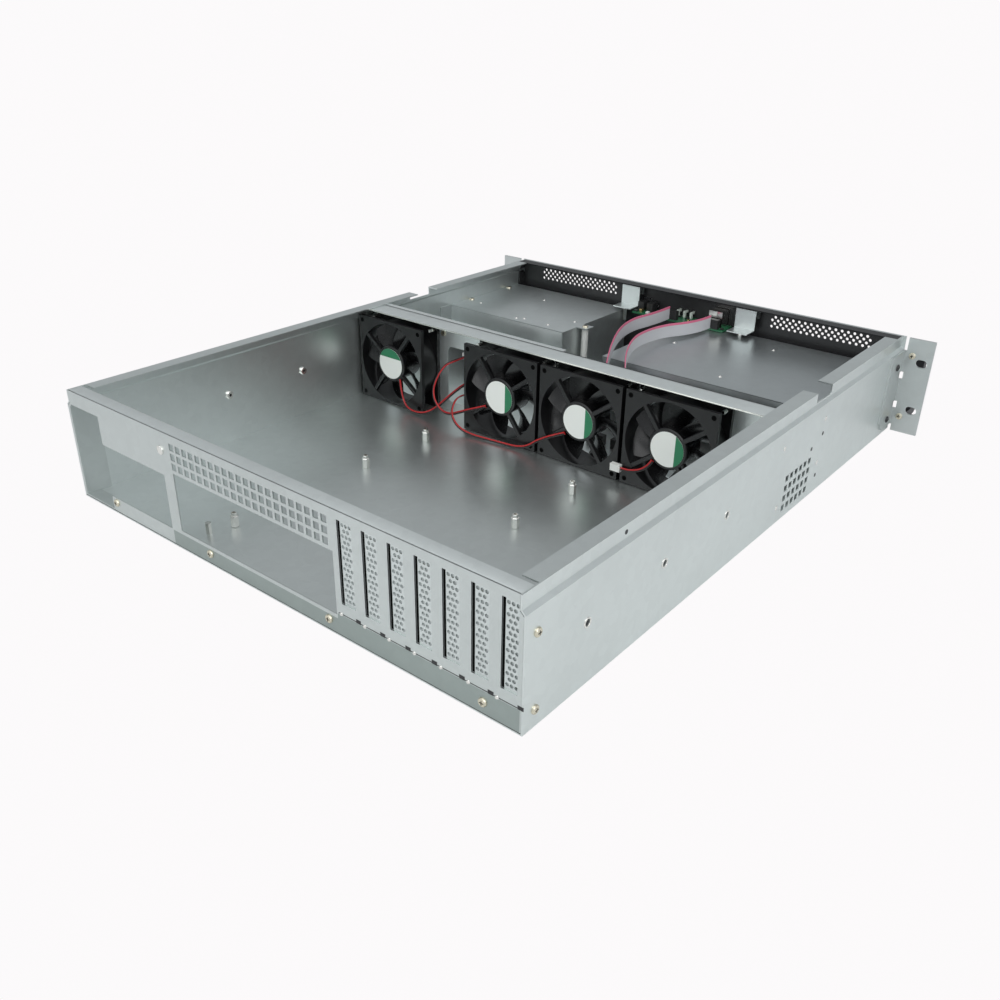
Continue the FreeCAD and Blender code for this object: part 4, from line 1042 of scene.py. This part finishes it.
# %% Soft edges
SHEET_NODES = ("chassis_tub", "fan_wall", "drive_cage", "front_bezel", "ear_left", "ear_right",
               "panel_bracket", "connector_rail")
for name, node in nodes.items():
    handle = name in ("handle_left", "handle_right")
    if handle or name.startswith(SHEET_NODES):
        bevel = node.modifiers.new("soft edges", "BEVEL")
        bevel.width = 0.0012 if handle else 0.00028
        bevel.segments = 3 if handle else 2
        bevel.limit_method = "ANGLE"
        bevel.angle_limit = math.radians(40)

# %% [markdown]
# The photo shows the case on pure pale ground with no shadow: the camera sees a flat pale colour
# there, while the metal still mirrors a real, softly lit floor.

# %% Floor
PALE = (0.970, 0.955, 0.962, 1.0)


def pale_to_camera(tree, kind, real, output):
    """Shows the camera a pale node of some kind, and everything else the real shader."""
    seen = tree.nodes.new(kind)
    seen.inputs["Color"].default_value = PALE
    mix = tree.nodes.new("ShaderNodeMixShader")
    path = tree.nodes.new("ShaderNodeLightPath")
    tree.links.new(path.outputs["Is Camera Ray"], mix.inputs["Fac"])
    tree.links.new(real, mix.inputs[1])
    tree.links.new(seen.outputs[0], mix.inputs[2])
    tree.links.new(mix.outputs["Shader"], output.inputs["Surface"])


floor_material, floor_main = shader("floor", (0.78, 0.78, 0.78), 0.7)
floor_tree = floor_material.node_tree
pale_to_camera(floor_tree, "ShaderNodeEmission", floor_main.outputs["BSDF"],
               floor_tree.nodes["Material Output"])
bm = bmesh.new()
bmesh.ops.create_grid(bm, x_segments=1, y_segments=1, size=6.0)
floor_mesh = bpy.data.meshes.new("floor")
bm.to_mesh(floor_mesh)
bm.free()
floor_mesh.materials.append(floor_material)
floor = bpy.data.objects.new("floor", floor_mesh)
bpy.context.scene.collection.objects.link(floor)

# %% [markdown]
# A sky and three soft boxes light the case. The sky is dimmer towards one side of the front, which
# gives the walls their gradient.

# %% Sky and lights
DIM_SIDE = (0.52, -0.76, 0.38)
SKY_BRIGHT = 0.74
SKY_DIM = 0.43

world = bpy.data.worlds.new("studio")
world.use_nodes = True
bpy.context.scene.world = world
sky_tree = world.node_tree
sky = sky_tree.nodes["Background"]
sky.inputs["Color"].default_value = (0.93, 0.97, 1.0, 1.0)
direction = sky_tree.nodes.new("ShaderNodeTexCoord")
towards_dim = sky_tree.nodes.new("ShaderNodeVectorMath")
towards_dim.operation = "DOT_PRODUCT"
towards_dim.inputs[1].default_value = DIM_SIDE
fall = sky_tree.nodes.new("ShaderNodeMapRange")
fall.inputs["From Min"].default_value = -0.1
fall.inputs["From Max"].default_value = 0.95
fall.inputs["To Min"].default_value = SKY_BRIGHT
fall.inputs["To Max"].default_value = SKY_DIM
sky_tree.links.new(direction.outputs["Generated"], towards_dim.inputs[0])
sky_tree.links.new(towards_dim.outputs["Value"], fall.inputs["Value"])
sky_tree.links.new(fall.outputs["Result"], sky.inputs["Strength"])
pale_to_camera(sky_tree, "ShaderNodeBackground", sky.outputs["Background"],
               sky_tree.nodes["World Output"])


def softbox(name, where, towards, width, height, power):
    """A large area light that faces a point."""
    data = bpy.data.lights.new(name, "AREA")
    data.shape = "RECTANGLE"
    data.size = width
    data.size_y = height
    data.energy = power
    light = bpy.data.objects.new(name, data)
    light.location = where
    light.rotation_euler = (Vector(towards) - Vector(where)).to_track_quat("-Z", "Y").to_euler()
    bpy.context.scene.collection.objects.link(light)


softbox("key", (-1.7, 0.85, 1.2), (0.0, 0.1, 0.05), 1.6, 1.2, 13.0)
softbox("top", (-0.3, 0.8, 1.9), (0.0, 0.1, 0.0), 2.4, 2.4, 15.0)
softbox("rear", (0.9, 2.0, 0.9), (0.0, 0.2, 0.05), 1.4, 0.9, 6.0)

bpy.context.scene.view_settings.view_transform = "Standard"
